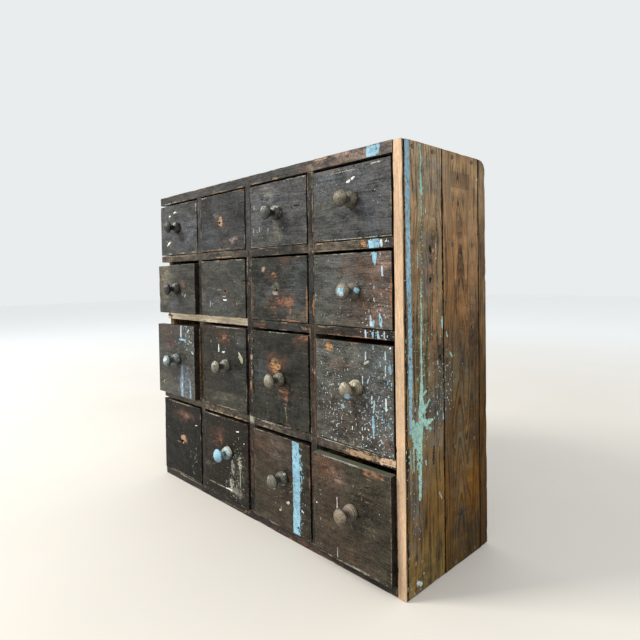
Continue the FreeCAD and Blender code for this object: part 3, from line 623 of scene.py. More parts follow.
# ---------------------------------------------------------------- the drawer fronts' wear and paint
# Patches: (tint, u, v, half width mm, half height mm, strength, and a dent's depth in mm).
# Strokes: (tint, points of (u, v, radius mm)), paint that stands on the surface.
# Splashes: (tint, u, v, spread along mm, spread up mm, how many drops, largest radius mm).
# u and v run from 0 to 1 across and up the opening that the front closes.
# A front may also have a knot behind its knob (radius mm), specks, blisters, its own edge wear
# and bare faces, as finish_board takes them.
FRONTS = {
    "r1c1": {
        "coat": "grey",
        "patches": [
            ("slate", 0.6, 0.4, 60, 24, 0.35), ("char", 0.9, 0.85, 30, 16, 0.5),
            ("chalk", 0.28, 0.03, 11, 1.5, 0.8), ("chalk", 0.62, 0.03, 12, 1.4, 0.8),
            ("chalk", 0.9, 0.03, 7, 1.4, 0.85), ("chalk", 0.97, 0.85, 2.5, 9, 0.8),
        ],
        "strokes": [
            ("white", [(0.25, 0.76, 1.1), (0.29, 0.765, 1.4)]),
            ("white", [(0.38, 0.81, 0.8), (0.42, 0.825, 1.2), (0.46, 0.82, 0.7)]),
            ("white", [(0.19, 0.19, 1.2), (0.225, 0.23, 2.6), (0.29, 0.27, 1.0)]),
            ("bone", [(0.38, 0.35, 0.8)]),
        ],
        "splashes": [("bone", 0.3, 0.22, 12, 7, 12, 0.9), ("bone", 0.5, 0.5, 34, 24, 10, 0.6)],
        "knot": 9.0,
    },
    "r1c2": {
        "coat": "dark",
        "patches": [
            ("pale", 0.465, 0.5, 6.6, 7.4, 0.98, 0.9), ("soot", 0.43, 0.49, 5.5, 0.9, 1.0, 1.6),
            ("tan", 0.385, 0.62, 9, 5, 0.6), ("orange", 0.5, 0.43, 8, 4, 0.5),
            ("rust", 0.5, 0.17, 22, 1.2, 0.9), ("pink", 0.78, 0.16, 10, 5, 0.6),
            ("slate", 0.15, 0.25, 26, 20, 0.35), ("rust", 0.965, 0.95, 5, 4, 0.8),
            ("chalk", 0.09, 0.963, 10, 1.4, 0.85), ("tan", 0.5, 0.03, 50, 1.4, 0.7),
        ],
        "strokes": [("bone", [(0.73, 0.185, 0.6), (0.77, 0.19, 0.9)])],
        "splashes": [("bone", 0.75, 0.17, 6, 4, 6, 0.7), ("tan", 0.5, 0.4, 36, 26, 10, 0.6)],
    },
    "r1c3": {
        "coat": "grey",
        "patches": [
            ("chalk", 0.33, 0.83, 13, 11, 0.45), ("moss", 0.4, 0.15, 24, 13, 0.6),
            ("slate", 0.3, 0.6, 40, 30, 0.35), ("tan", 0.5, 0.3, 8, 14, 0.3),
            ("soot", 0.84, 0.56, 8, 3, 0.8, 0.5), ("soot", 0.84, 0.27, 17, 0.8, 0.8, 0.4),
            ("chalk", 0.68, 0.958, 9, 1.3, 0.85), ("chalk", 0.92, 0.958, 7, 1.3, 0.85),
        ],
        "strokes": [
            ("bone", [(0.08, 0.66, 0.7), (0.08, 0.61, 0.9)]),
            ("bone", [(0.07, 0.3, 0.6), (0.07, 0.25, 0.9)]),
            ("bone", [(0.18, 0.32, 0.6), (0.18, 0.25, 0.8)]),
            ("bone", [(0.34, 0.29, 0.7), (0.34, 0.25, 0.8)]),
        ],
        "splashes": [("bone", 0.2, 0.26, 22, 6, 18, 0.8), ("bone", 0.6, 0.3, 24, 22, 8, 0.8)],
    },
    "r1c4": {
        "coat": "grey",
        "patches": [
            ("bone", 0.42, 0.9, 28, 1.3, 0.8), ("bone", 0.82, 0.925, 11, 1.6, 0.77),
            ("moss", 0.55, 0.26, 7, 18, 0.55), ("slate", 0.7, 0.5, 30, 40, 0.35),
            ("slate", 0.25, 0.8, 40, 20, 0.4), ("soot", 0.5, 0.5, 13, 20, 0.3),
            ("moss", 0.25, 0.4, 20, 30, 0.35), ("brown", 0.02, 0.2, 3, 24, 0.7),
            ("chalk", 0.5, 0.02, 60, 0.8, 0.78),
        ],
        "strokes": [("white", [(0.475, 0.75, 1.6), (0.5, 0.762, 2.1)]),
                    ("white", [(0.535, 0.785, 1.9), (0.56, 0.8, 1.4)])],
        "splashes": [("bone", 0.8, 0.5, 6, 6, 8, 0.9), ("bone", 0.3, 0.7, 24, 14, 10, 0.6),
                     ("chalk", 0.42, 0.9, 20, 2.4, 44, 0.7), ("bone", 0.15, 0.7, 8, 20, 16, 0.6)],
    },
    "r2c1": {
        "coat": "dull",
        "patches": [
            ("tan", 0.14, 0.6, 24, 36, 0.6), ("moss", 0.3, 0.75, 16, 16, 0.55),
            ("rust", 0.66, 0.6, 14, 11, 0.6), ("pink", 0.7, 0.58, 7, 5, 0.4),
            ("slate", 0.42, 0.16, 16, 18, 0.5), ("char", 0.8, 0.6, 34, 50, 0.5),
            ("chalk", 0.5, 0.955, 60, 1.2, 0.85),
        ],
        "strokes": [
            ("white", [(0.74, 0.38, 0.6), (0.73, 0.34, 0.9)]),
            ("bone", [(0.68, 0.4, 0.5), (0.67, 0.36, 0.8)]),
        ],
        "splashes": [("bone", 0.68, 0.38, 9, 6, 14, 0.8), ("cream", 0.16, 0.65, 10, 14, 10, 0.8)],
    },
    "r2c2": {
        "coat": "dull",
        "patches": [
            ("rust", 0.55, 0.45, 6.5, 6, 0.9, 0.5), ("slate", 0.55, 0.45, 3.2, 3, 0.9),
            ("chalk", 0.45, 0.47, 8, 0.7, 0.95), ("soot", 0.12, 0.62, 17, 0.8, 1.0, 1.0),
            ("soot", 0.5, 0.62, 62, 0.5, 0.9, 0.7), ("soot", 0.95, 0.62, 6, 1.4, 1.0, 1.0),
            ("chalk", 0.03, 0.963, 4, 1.2, 0.9), ("chalk", 0.415, 0.963, 7, 1.2, 0.85),
            ("chalk", 0.865, 0.963, 11, 1.2, 0.85), ("slate", 0.3, 0.25, 40, 20, 0.35),
            ("tan", 0.83, 0.24, 5, 4, 0.55), ("brown", 0.72, 0.26, 8, 6, 0.6),
        ],
        "strokes": [
            ("bone", [(0.5, 0.36, 0.6), (0.54, 0.352, 0.9), (0.57, 0.36, 0.6)]),
            ("white", [(0.52, 0.3, 0.8), (0.56, 0.295, 1.3), (0.59, 0.3, 0.8)]),
            ("bone", [(0.215, 0.27, 0.7), (0.22, 0.21, 1.6), (0.2, 0.18, 1.2)]),
        ],
        "splashes": [("bone", 0.3, 0.24, 7, 5, 8, 0.8), ("bone", 0.6, 0.3, 26, 22, 14, 0.8)],
    },
    "r2c3": {
        "coat": "coal",
        "patches": [
            ("slate", 0.3, 0.45, 26, 18, 0.4), ("moss", 0.45, 0.5, 11, 11, 0.8, 0.35),
            ("slate", 0.8, 0.5, 30, 44, 0.3), ("tan", 0.85, 0.1, 20, 10, 0.4),
            ("pink", 0.46, 0.42, 8, 3, 0.85), ("rust", 0.24, 0.8, 6.5, 5, 0.85),
            ("pink", 0.24, 0.8, 4, 4, 0.77), ("orange", 0.44, 0.71, 9, 3.4, 0.77),
            ("rust", 0.4, 0.66, 12, 5, 0.6), ("rust", 0.55, 0.3, 24, 13, 0.7),
            ("orange", 0.52, 0.32, 16, 5, 0.76), ("orange", 0.68, 0.3, 12, 8, 0.77),
            ("orange", 0.71, 0.16, 2.2, 13, 0.8), ("rust", 0.28, 0.2, 5, 2, 0.85),
            ("orange", 0.4, 0.21, 7, 2.2, 0.8), ("rust", 0.02, 0.3, 4, 30, 0.8),
            ("orange", 0.975, 0.3, 2, 26, 0.84), ("orange", 0.7, 0.03, 30, 1.5, 0.85),
            ("rust", 0.65, 0.9, 20, 8, 0.5),
        ],
        "strokes": [],
        "splashes": [("orange", 0.6, 0.2, 26, 10, 22, 0.8), ("bone", 0.5, 0.4, 30, 26, 12, 0.6)],
    },
    "r2c4": {
        "coat": "dust_and_sheen",
        "patches": [
            ("rust", 0.84, 0.4, 30, 40, 0.62), ("brown", 0.55, 0.2, 34, 26, 0.6),
            ("slate", 0.25, 0.6, 30, 30, 0.3), ("pink", 0.8, 0.2, 20, 12, 0.4),
            ("rust", 0.6, 0.8, 30, 14, 0.5), ("pink", 0.9, 0.85, 14, 12, 0.4),
            ("chalk", 0.4, 0.955, 40, 1.2, 0.8), ("orange", 0.98, 0.4, 2, 30, 0.8),
        ],
        "strokes": [
            ("sky", [(0.79, 0.985, 4.8), (0.797, 0.92, 4.0), (0.8, 0.86, 3.2), (0.8, 0.82, 1.8)]),
            ("ice", [(0.88, 0.78, 0.8), (0.885, 0.67, 1.6)]),
            ("ice", [(0.86, 0.98, 0.8), (0.865, 0.92, 0.6)]),
            ("sky", [(0.85, 0.2, 1.2), (0.86, 0.12, 2.6), (0.865, 0.05, 1.8)]),
            ("ice", [(0.74, 0.16, 1.4), (0.75, 0.05, 2.2)]),
            ("sky", [(0.78, 0.1, 1.4), (0.77, 0.04, 1.8)]),
        ],
        "splashes": [
            ("bone", 0.6, 0.4, 40, 30, 60, 0.75), ("ice", 0.83, 0.2, 14, 16, 34, 1.0),
            ("pink", 0.7, 0.35, 24, 24, 40, 0.8),
        ],
        "speck": 0.8,
    },
    "r3c1": {
        "coat": "dull",
        "patches": [
            ("brown", 0.25, 0.86, 44, 22, 0.7), ("rust", 0.36, 0.68, 16, 13, 0.6),
            ("pink", 0.34, 0.66, 8, 5, 0.35), ("slate", 0.75, 0.8, 30, 20, 0.3),
            ("soot", 0.6, 0.5, 50, 34, 0.35), ("mist", 0.72, 0.2, 20, 28, 0.3),
            ("moss", 0.15, 0.2, 24, 18, 0.3), ("char", 0.45, 0.35, 16, 14, 0.5),
            ("chalk", 0.6, 0.975, 56, 1.4, 0.85),
        ],
        "strokes": [
            ("ice", [(0.66, 0.97, 1.8), (0.655, 0.9, 2.2), (0.65, 0.8, 1.6)]),
            ("sky", [(0.6, 0.765, 1.0), (0.66, 0.765, 2.4), (0.73, 0.765, 1.4), (0.78, 0.77, 0.8)]),
            ("ice", [(0.74, 0.96, 1.4), (0.8, 0.94, 1.0)]),
            ("ice", [(0.82, 0.87, 1.4), (0.86, 0.9, 1.0)]),
            ("bone", [(0.86, 0.76, 1.6), (0.9, 0.74, 1.2)]),
            ("ice", [(0.93, 0.62, 1.5), (0.96, 0.6, 1.6)]),
            ("mist", [(0.66, 0.4, 3.0), (0.66, 0.3, 5.6), (0.65, 0.15, 6.0), (0.66, 0.02, 4.8)]),
            ("ice", [(0.67, 0.36, 1.0), (0.66, 0.2, 1.6), (0.655, 0.04, 1.2)]),
            ("mist", [(0.86, 0.24, 1.4), (0.87, 0.14, 2.6), (0.87, 0.02, 3.6)]),
            ("ice", [(0.865, 0.2, 0.8), (0.875, 0.06, 1.3)]),
        ],
        "splashes": [
            ("ice", 0.82, 0.8, 16, 22, 60, 1.0), ("bone", 0.5, 0.6, 34, 34, 34, 0.8),
            ("mist", 0.8, 0.3, 14, 20, 24, 1.1), ("cream", 0.15, 0.15, 8, 4, 5, 1.2),
        ],
        "speck": 0.6,
    },
    "r3c2": {
        "coat": "coal",
        "patches": [
            ("rust", 0.5, 0.84, 16, 10, 0.7), ("orange", 0.53, 0.86, 6, 6, 0.8),
            ("orange", 0.63, 0.83, 5, 3, 0.6), ("soot", 0.25, 0.69, 18, 1.1, 0.95, 0.8),
            ("soot", 0.2, 0.65, 14, 0.8, 0.9, 0.5), ("moss", 0.45, 0.12, 60, 8, 0.45),
            ("brown", 0.5, 0.9, 60, 14, 0.6), ("tan", 0.7, 0.17, 40, 2.4, 0.6),
            ("slate", 0.7, 0.42, 30, 12, 0.2), ("slate", 0.9, 0.8, 20, 20, 0.3),
            ("brown", 0.06, 0.3, 5, 34, 0.6), ("chalk", 0.5, 0.975, 40, 1.3, 0.85),
            ("tan", 0.55, 0.02, 50, 1.2, 0.8), ("char", 0.2, 0.85, 20, 14, 0.5),
        ],
        "strokes": [
            ("white", [(0.4, 0.76, 0.7), (0.395, 0.7, 2.1), (0.395, 0.68, 2.0)]),
            ("white", [(0.48, 0.675, 1.1), (0.505, 0.672, 1.9), (0.53, 0.68, 1.0)]),
            ("celadon", [(0.85, 0.65, 3.2), (0.88, 0.63, 4.4), (0.9, 0.6, 3.0)]),
            ("cream", [(0.84, 0.69, 1.6), (0.87, 0.66, 1.6)]),
        ],
        "splashes": [("bone", 0.6, 0.78, 24, 12, 20, 0.8), ("bone", 0.3, 0.5, 28, 30, 14, 0.7)],
        "speck": 0.25,
    },
    "r3c3": {
        "coat": "coal",
        "patches": [
            ("rust", 0.43, 0.64, 19, 19, 0.72), ("amber", 0.42, 0.62, 13, 10, 0.76),
            ("tan", 0.44, 0.68, 6, 5, 0.77), ("rust", 0.6, 0.36, 16, 10, 0.7),
            ("orange", 0.58, 0.37, 10, 7, 0.77), ("orange", 0.62, 0.32, 5, 9, 0.78),
            ("rust", 0.92, 0.93, 20, 12, 0.7), ("orange", 0.95, 0.95, 7, 4, 0.8),
            ("tan", 0.27, 0.14, 1.3, 14, 0.82), ("tan", 0.61, 0.2, 1.3, 16, 0.84),
            ("slate", 0.2, 0.6, 18, 24, 0.4), ("soot", 0.5, 0.85, 50, 14, 0.4),
            ("rust", 0.62, 0.03, 8, 3, 0.8), ("chalk", 0.5, 0.975, 30, 1.0, 0.8),
        ],
        "strokes": [],
        "splashes": [("bone", 0.5, 0.5, 34, 30, 20, 0.6), ("orange", 0.5, 0.5, 22, 20, 14, 0.8)],
        "blisters": 1.0,
    },
    "r3c4": {
        "coat": "dust_and_sheen",
        "patches": [
            ("brown", 0.2, 0.89, 10, 7.4, 0.9, 0.3), ("pale", 0.2, 0.89, 7.4, 5.4, 0.84, 0.4),
            ("amber", 0.19, 0.88, 6, 4.4, 0.8), ("rust", 0.35, 0.74, 16, 7, 0.6),
            ("slate", 0.85, 0.9, 30, 20, 0.5), ("brown", 0.5, 0.3, 50, 50, 0.6),
            ("rust", 0.9, 0.12, 16, 12, 0.6), ("slate", 0.75, 0.5, 20, 40, 0.35),
            ("orange", 0.53, 0.95, 9, 1.0, 0.85), ("chalk", 0.6, 0.02, 50, 1.2, 0.8),
        ],
        "strokes": [
            ("ice", [(0.67, 0.88, 0.9), (0.67, 0.82, 1.2)]),
            ("ice", [(0.63, 0.66, 0.9), (0.63, 0.56, 0.5)]),
            ("ice", [(0.77, 0.46, 0.9), (0.765, 0.42, 1.4), (0.755, 0.36, 1.2)]),
            ("sky", [(0.75, 0.32, 1.6), (0.755, 0.24, 2.0), (0.757, 0.16, 1.0)]),
            ("ice", [(0.74, 0.5, 0.7), (0.735, 0.44, 1.1)]),
            ("ice", [(0.9, 0.9, 0.9), (0.9, 0.84, 1.2)]), ("ice", [(0.9, 0.78, 0.5), (0.9, 0.7, 0.7)]),
            ("white", [(0.9, 0.5, 1.0), (0.905, 0.4, 1.3)]),
            ("sky", [(0.95, 0.8, 1.2), (0.955, 0.72, 1.2)]),
            ("sky", [(0.36, 0.36, 1.8), (0.39, 0.35, 2.0)]),
            ("bone", [(0.66, 0.78, 1.8), (0.7, 0.8, 1.0)]), ("white", [(0.955, 0.94, 1.4)]),
        ],
        "splashes": [
            ("ice", 0.2, 0.5, 20, 44, 120, 0.75), ("ice", 0.76, 0.3, 16, 36, 150, 0.95),
            ("ice", 0.5, 0.13, 50, 18, 130, 0.8), ("sky", 0.9, 0.5, 8, 44, 110, 1.05),
            ("white", 0.4, 0.12, 44, 14, 36, 0.85), ("pink", 0.4, 0.7, 30, 24, 60, 0.8),
            ("bone", 0.5, 0.5, 40, 44, 120, 0.65),
        ],
        "speck": 1.0,
    },
    "r4c1": {
        "coat": "pitch",
        "patches": [
            ("rust", 0.55, 0.82, 30, 10, 0.72), ("pink", 0.62, 0.83, 18, 4, 0.4),
            ("soot", 0.5, 0.3, 70, 60, 0.6), ("pale", 0.53, 0.51, 8.5, 9, 0.96, 1.0),
            ("soot", 0.5, 0.47, 8, 1.2, 1.0, 2.0), ("tan", 0.39, 0.44, 7, 1.0, 0.95, 0.4),
            ("orange", 0.6, 0.5, 4, 8, 0.6), ("tan", 0.45, 0.973, 50, 1.4, 0.85),
            ("tan", 0.55, 0.02, 50, 1.4, 0.8), ("soot", 0.9, 0.7, 24, 50, 0.6),
        ],
        "strokes": [("white", [(0.86, 0.743, 0.8), (0.9, 0.75, 0.9)])],
        "splashes": [("bone", 0.8, 0.25, 12, 18, 26, 1.0), ("bone", 0.5, 0.5, 40, 34, 22, 0.6)],
        "speck": 0.2,
    },
    "r4c2": {
        "coat": "tarry",
        "patches": [
            ("rust", 0.35, 0.74, 18, 16, 0.45), ("orange", 0.41, 0.68, 3, 9, 0.77),
            ("brown", 0.15, 0.6, 12, 40, 0.3), ("moss", 0.78, 0.3, 20, 36, 0.4),
            ("bone", 0.63, 0.2, 8, 14, 0.76), ("bone", 0.66, 0.42, 6, 12, 0.75),
            ("bone", 0.82, 0.5, 6, 12, 0.75), ("bone", 0.76, 0.14, 16, 6, 0.4),
            ("chalk", 0.35, 0.13, 34, 0.8, 0.92), ("moss", 0.1, 0.34, 9, 4, 0.7),
            ("chalk", 0.25, 0.972, 30, 1.1, 0.85), ("orange", 0.06, 0.02, 8, 1.6, 0.85),
            ("soot", 0.45, 0.35, 24, 30, 0.3),
        ],
        "strokes": [
            ("bone", [(0.64, 0.46, 0.8), (0.65, 0.38, 1.5), (0.67, 0.33, 1.0)]),
            ("bone", [(0.82, 0.42, 0.9), (0.82, 0.3, 1.3), (0.82, 0.22, 1.0)]),
            ("white", [(0.5, 0.13, 0.6), (0.6, 0.135, 1.2), (0.63, 0.13, 1.5)]),
            ("bone", [(0.61, 0.23, 1.8), (0.63, 0.16, 2.2), (0.66, 0.13, 1.2)]),
            ("white", [(0.75, 0.855, 0.9), (0.8, 0.86, 1.0)]), ("white", [(0.91, 0.745, 1.2)]),
        ],
        "splashes": [
            ("bone", 0.78, 0.45, 10, 22, 90, 0.95), ("bone", 0.65, 0.18, 10, 12, 50, 1.0),
            ("moss", 0.7, 0.3, 18, 26, 40, 1.2), ("bone", 0.4, 0.6, 34, 34, 26, 0.6),
        ],
        "speck": 0.6,
    },
    "r4c3": {
        "coat": "earthy",
        "patches": [
            ("soot", 0.95, 0.5, 14, 100, 0.7), ("chalk", 0.13, 0.972, 15, 1.5, 0.9),
            ("tan", 0.5, 0.972, 24, 1.0, 0.85), ("brown", 0.35, 0.5, 50, 70, 0.55),
            ("rust", 0.4, 0.82, 40, 16, 0.4), ("slate", 0.5, 0.8, 24, 20, 0.3),
            ("tan", 0.36, 0.92, 2, 8, 0.6), ("rust", 0.97, 0.96, 4, 4, 0.8),
            ("char", 0.2, 0.1, 30, 12, 0.4),
        ],
        "strokes": [
            ("sky", [(0.758, 0.99, 7.6), (0.762, 0.8, 7.4)]),
            ("sky", [(0.765, 0.84, 7.6), (0.77, 0.6, 8.2)]),
            ("sky", [(0.77, 0.66, 8.2), (0.768, 0.35, 7.6)]),
            ("sky", [(0.765, 0.42, 7.4), (0.765, 0.01, 7.8)]),
            ("sky", [(0.8, 0.72, 4.6), (0.855, 0.7, 2.2)]),
            ("sky", [(0.8, 0.82, 3.6), (0.845, 0.84, 1.6)]),
            ("sky", [(0.81, 0.5, 2.6), (0.84, 0.49, 1.2)]),
            ("ice", [(0.85, 0.28, 1.4), (0.875, 0.27, 0.8)]),
            ("sky", [(0.855, 0.63, 1.2), (0.86, 0.57, 0.8)]),
            ("cream", [(0.6, 0.29, 1.2), (0.63, 0.3, 2.6)]),
            ("cream", [(0.48, 0.18, 1.6), (0.5, 0.19, 1.0)]),
            ("tan", [(0.355, 0.885, 1.0), (0.38, 0.87, 1.5)]),
            ("tan", [(0.66, 0.42, 1.2), (0.7, 0.44, 1.0)]),
        ],
        "splashes": [
            ("sky", 0.84, 0.5, 5, 60, 70, 1.1), ("bone", 0.5, 0.3, 24, 26, 22, 0.7),
            ("tan", 0.65, 0.42, 8, 4, 8, 0.8),
        ],
        "speck": 0.15,
    },
    "r4c4": {
        "coat": "earthy",
        "patches": [
            ("brown", 0.25, 0.6, 26, 80, 0.7), ("rust", 0.2, 0.84, 26, 20, 0.72),
            ("pink", 0.32, 0.78, 12, 12, 0.3), ("brown", 0.5, 0.15, 30, 26, 0.7),
            ("moss", 0.5, 0.955, 62, 3.4, 0.9), ("chalk", 0.4, 0.955, 34, 1.4, 0.8),
            ("char", 0.72, 0.4, 28, 50, 0.6), ("orange", 0.78, 0.92, 16, 4, 0.77),
            ("orange", 0.72, 0.86, 1.0, 9, 0.8), ("orange", 0.9, 0.93, 2, 6, 0.8),
            ("chalk", 0.5, 0.02, 60, 1.1, 0.8),
        ],
        "strokes": [
            ("white", [(0.335, 0.6, 0.5), (0.335, 0.52, 0.6), (0.335, 0.505, 1.0)]),
            ("bone", [(0.335, 0.13, 0.5), (0.333, 0.04, 0.8)]), ("white", [(0.05, 0.47, 1.2)]),
        ],
        "splashes": [
            ("bone", 0.07, 0.4, 5, 26, 20, 0.8), ("bone", 0.5, 0.6, 34, 38, 26, 0.6),
            ("tan", 0.8, 0.5, 14, 30, 18, 0.7),
        ],
        "speck": 0.3,
        "wear": 1.7,
        # The top face in moss: worn paint, made lighter as painted light on a face that lies in the
        # rail's shade.
        "bare_faces": [((2, 1), "moss")],
    },
}

# Knobs: coat colour, how deep the turned rings are cut, and patches on them as
# (tint, across mm, up mm, out mm, radius mm, strength), from the middle of the knob's base.
# Painted highlights: the pale patch on top of the base (up 7 to 8 mm, out 4 to 6 mm) on r1c1, r1c3, r2c1,
# r3c1, r3c2 and r3c4, and the pale patch up and to the left on the head (in bone, tan and cream) on r1c3,
# r1c4, r3c2, r3c3, r3c4, r4c3 and r4c4, stand in for light falling there; the other patches are paint and
# wear.
KNOBS = {
    "r1c1": {"coat": (44, 43, 41), "rings": 0.35, "patches": [("bone", -1, 8, 5, 6, 0.62)]},
    "r1c3": {"coat": (70, 70, 67), "rings": 0.3, "patches": [
        ("bone", -4, 6, 26, 5, 0.55), ("bone", 0, 8, 5, 8, 0.62)]},
    "r1c4": {"coat": (104, 98, 82), "rings": 0.3, "patches": [
        ("tan", -5, 5, 26, 6, 0.55), ("moss", -1, 8, 5, 7, 0.6)]},
    "r2c1": {"coat": (52, 50, 47), "rings": 0.3, "patches": [("chalk", 0, 8, 5, 6, 0.58)]},
    "r2c4": {"coat": (112, 106, 94), "rings": 0.3, "patches": [
        ("sky", 1, 0, 28, 6.5, 0.74), ("ice", 3, -4, 28, 3, 0.7), ("sky", 9, 1, 6, 4, 0.7)]},
    "r3c1": {"coat": (112, 120, 122), "rings": 0.3, "patches": [
        ("ice", 1, 3, 27, 6, 0.6), ("bone", -3, 8, 6, 6, 0.6), ("ice", 7, 0, 4, 4, 0.55)]},
    "r3c2": {"coat": (104, 103, 90), "rings": 0.45, "patches": [
        ("bone", -1, 7, 25, 6, 0.55), ("bone", -2, 8, 4, 7, 0.55)]},
    "r3c3": {"coat": (112, 106, 94), "rings": 0.25, "patches": [
        ("tan", -2, -3, 27, 7, 0.6), ("bone", -3, 7, 25, 5, 0.45)]},
    "r3c4": {"coat": (122, 114, 96), "rings": 0.45, "patches": [
        ("sky", 6, -7, 26, 5, 0.8), ("cream", -5, 6, 26, 6, 0.45), ("cream", -2, 7, 5, 8, 0.5),
        ("ice", 6, -8, 27, 2.4, 0.8), ("ice", 8, -1, 4, 3, 0.55)]},
    "r4c2": {"coat": (146, 178, 192), "rings": 0.3, "patches": [
        ("sky", 0, 0, 26, 13, 0.95), ("cream", -4, 6, 5, 9, 0.75), ("ice", -6, -7, 24, 5, 0.7),
        ("cream", 6, 3, 4, 6, 0.7)]},
    "r4c3": {"coat": (92, 90, 80), "rings": 0.4, "patches": [
        ("bone", 6, 8, 4, 2.6, 1.0), ("bone", 6, -7, 5, 3.0, 1.0), ("bone", 7, -8, 23, 3.0, 1.0),
        ("bone", -5, 5, 25, 5, 0.5), ("brown", -4, -6, 25, 4, 0.6)]},
    "r4c4": {"coat": (112, 100, 86), "rings": 0.9, "patches": [
        ("tan", -2, 0, 27, 8, 0.6), ("bone", -4, 8, 20, 5, 0.4)]},
}
# How high each drawer's tray stands and its boards, in millimetres.
TRAY_BOTTOM = 6.0
TRAY_SIDE = 8.0
# Where the empty hole is on each front without a knob, from the front's middle: (x, z) in mm.
EMPTY_HOLES = {"r1c2": (-8.0, 0.0), "r2c2": (7.0, -4.0), "r2c3": (-3.0, -1.0), "r4c1": (-1.0, -4.0)}
# The painted shadow that each knob casts below and to the right of it on its front, partly hand grime:
# (tint, across, up, half width, half height, strength).
KNOB_SHADOW = ("soot", 8, -9, 13, 12, 0.5)
# The fronts whose top left corner has sunk, and by how many millimetres.
SLUMPED = {"r2c1": 2.2, "r3c1": 2.0}


def corners(node):
    """A CAD node's lowest and highest corners in millimetres."""
    low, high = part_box(node)
    return np.array(low) / MM, np.array(high) / MM


# ---------------------------------------------------------------- spilt paint that stands proud
def stroke_gap(a, b, points):
    """How far places are outside a stroke, a chain of round-ended tapering bars."""
    gap = np.full(a.shape, 1e6)
    ends = list(zip(points, points[1:])) or [(points[0], points[0])]
    for (a0, b0, r0), (a1, b1, r1) in ends:
        da, db = a1 - a0, b1 - b0
        t = np.clip(((a - a0) * da + (b - b0) * db) / max(da * da + db * db, 1e-9), 0, 1)
        gap = np.minimum(gap, np.hypot(a - a0 - t * da, b - b0 - t * db) - r0 - (r1 - r0) * t)
    return gap


# Spilt paint's height at its border, how much more it stands up inside, and how far it reaches
# into the wood, in millimetres.
FILM_EDGE = 0.03
FILM_RISE = 0.3
FILM_DEPTH = 0.3


def stroke_sheet(points, frame_low, frame_high, seed):
    """One stroke as a flat grid cut to its outline: places, heights above the wood and quads."""
    points = np.asarray(points, float)
    radius = points[:, 2]
    low = (points[:, :2] - radius[:, None]).min(0) - 1.2
    high = (points[:, :2] + radius[:, None]).max(0) + 1.2
    step = float(np.clip(radius.min() / 2.4, 0.32, 0.8))
    a, b = np.meshgrid(np.arange(low[0], high[0], step), np.arange(low[1], high[1], step),
                       indexing="ij")
    gap = stroke_gap(a, b, points)
    places = np.stack([a.ravel(), b.ravel(), np.zeros(a.size)], 1)
    mean = float(radius.mean())
    ragged = min(1.3 * mean, 4.0) * (rough(places, 0.9 * mean + 0.8, seed) - 0.5)
    ragged += min(1.8, 0.7 * mean) * (rough(places, 1.6, seed + 1, 2) - 0.5)
    gap += ragged.reshape(a.shape)
    if mean > 1.8:
        pits = 7.0 * (rough(places, 2.6, seed + 2, 2) - 0.66)
        gap = np.maximum(gap, pits.reshape(a.shape))
    gap = np.maximum.reduce([gap, frame_low[0] - a, a - frame_high[0],
                             frame_low[1] - b, b - frame_high[1]])
    inside = gap < 0
    cell = inside[:-1, :-1] | inside[1:, :-1] | inside[:-1, 1:] | inside[1:, 1:]
    slope_a, slope_b = np.gradient(gap, step)
    push = np.where(gap > 0, gap / np.maximum(slope_a**2 + slope_b**2, 0.3), 0)
    push = np.minimum(push, step)
    places = np.stack([(a - push * slope_a).ravel(), (b - push * slope_b).ravel()], 1)
    height = FILM_EDGE + FILM_RISE * smooth(0.0, -1.1, gap).ravel()
    index = np.arange(a.size).reshape(a.shape)
    quads = np.stack([index[:-1, :-1], index[1:, :-1], index[1:, 1:], index[:-1, 1:]], -1)[cell]
    used, quads = np.unique(quads, return_inverse=True)
    return places[used], height[used], quads.reshape(-1, 4)


def spatter(splashes, seed):
    """Drops thrown round each splash's middle, most of them tiny, some pulled into short runs.

    A splash is (tint, a, b, spread along a, spread along b, how many, largest radius).
    """
    chance = np.random.default_rng(seed)
    strokes = []
    for tint, a, b, spread_a, spread_b, count, largest in splashes:
        for _ in range(count):
            drop_a, drop_b = chance.normal((a, b), (spread_a, spread_b))
            radius = largest * (0.4 + 0.6 * chance.random() ** 2)
            if chance.random() < 0.25:
                run = radius * chance.uniform(2.0, 6.0)
                lean = 0.15 * run * chance.uniform(-1, 1)
                strokes.append((tint, [(drop_a, drop_b, 0.6 * radius),
                                       (drop_a + lean, drop_b - run, 0.85 * radius)]))
            else:
                stretch = chance.uniform(-0.9, 0.9) * radius
                strokes.append((tint, [(drop_a, drop_b, radius),
                                       (drop_a + stretch, drop_b + 0.4 * stretch, 0.8 * radius)]))
    return strokes


def closed_film(top, bottom, quads):
    """Joins a sheet and its underside by walls round every border, so the film is closed."""
    count = len(top)
    edges = np.concatenate([quads[:, (i, (i + 1) % 4)] for i in range(4)])
    key = np.sort(edges, 1)
    _, place, times = np.unique(key, axis=0, return_index=True, return_counts=True)
    border = edges[place[times == 1]]
    walls = np.stack([border[:, 1], border[:, 0], border[:, 0] + count, border[:, 1] + count], 1)
    return (np.concatenate([top, bottom]),
            np.concatenate([quads, quads[:, ::-1] + count, walls]))


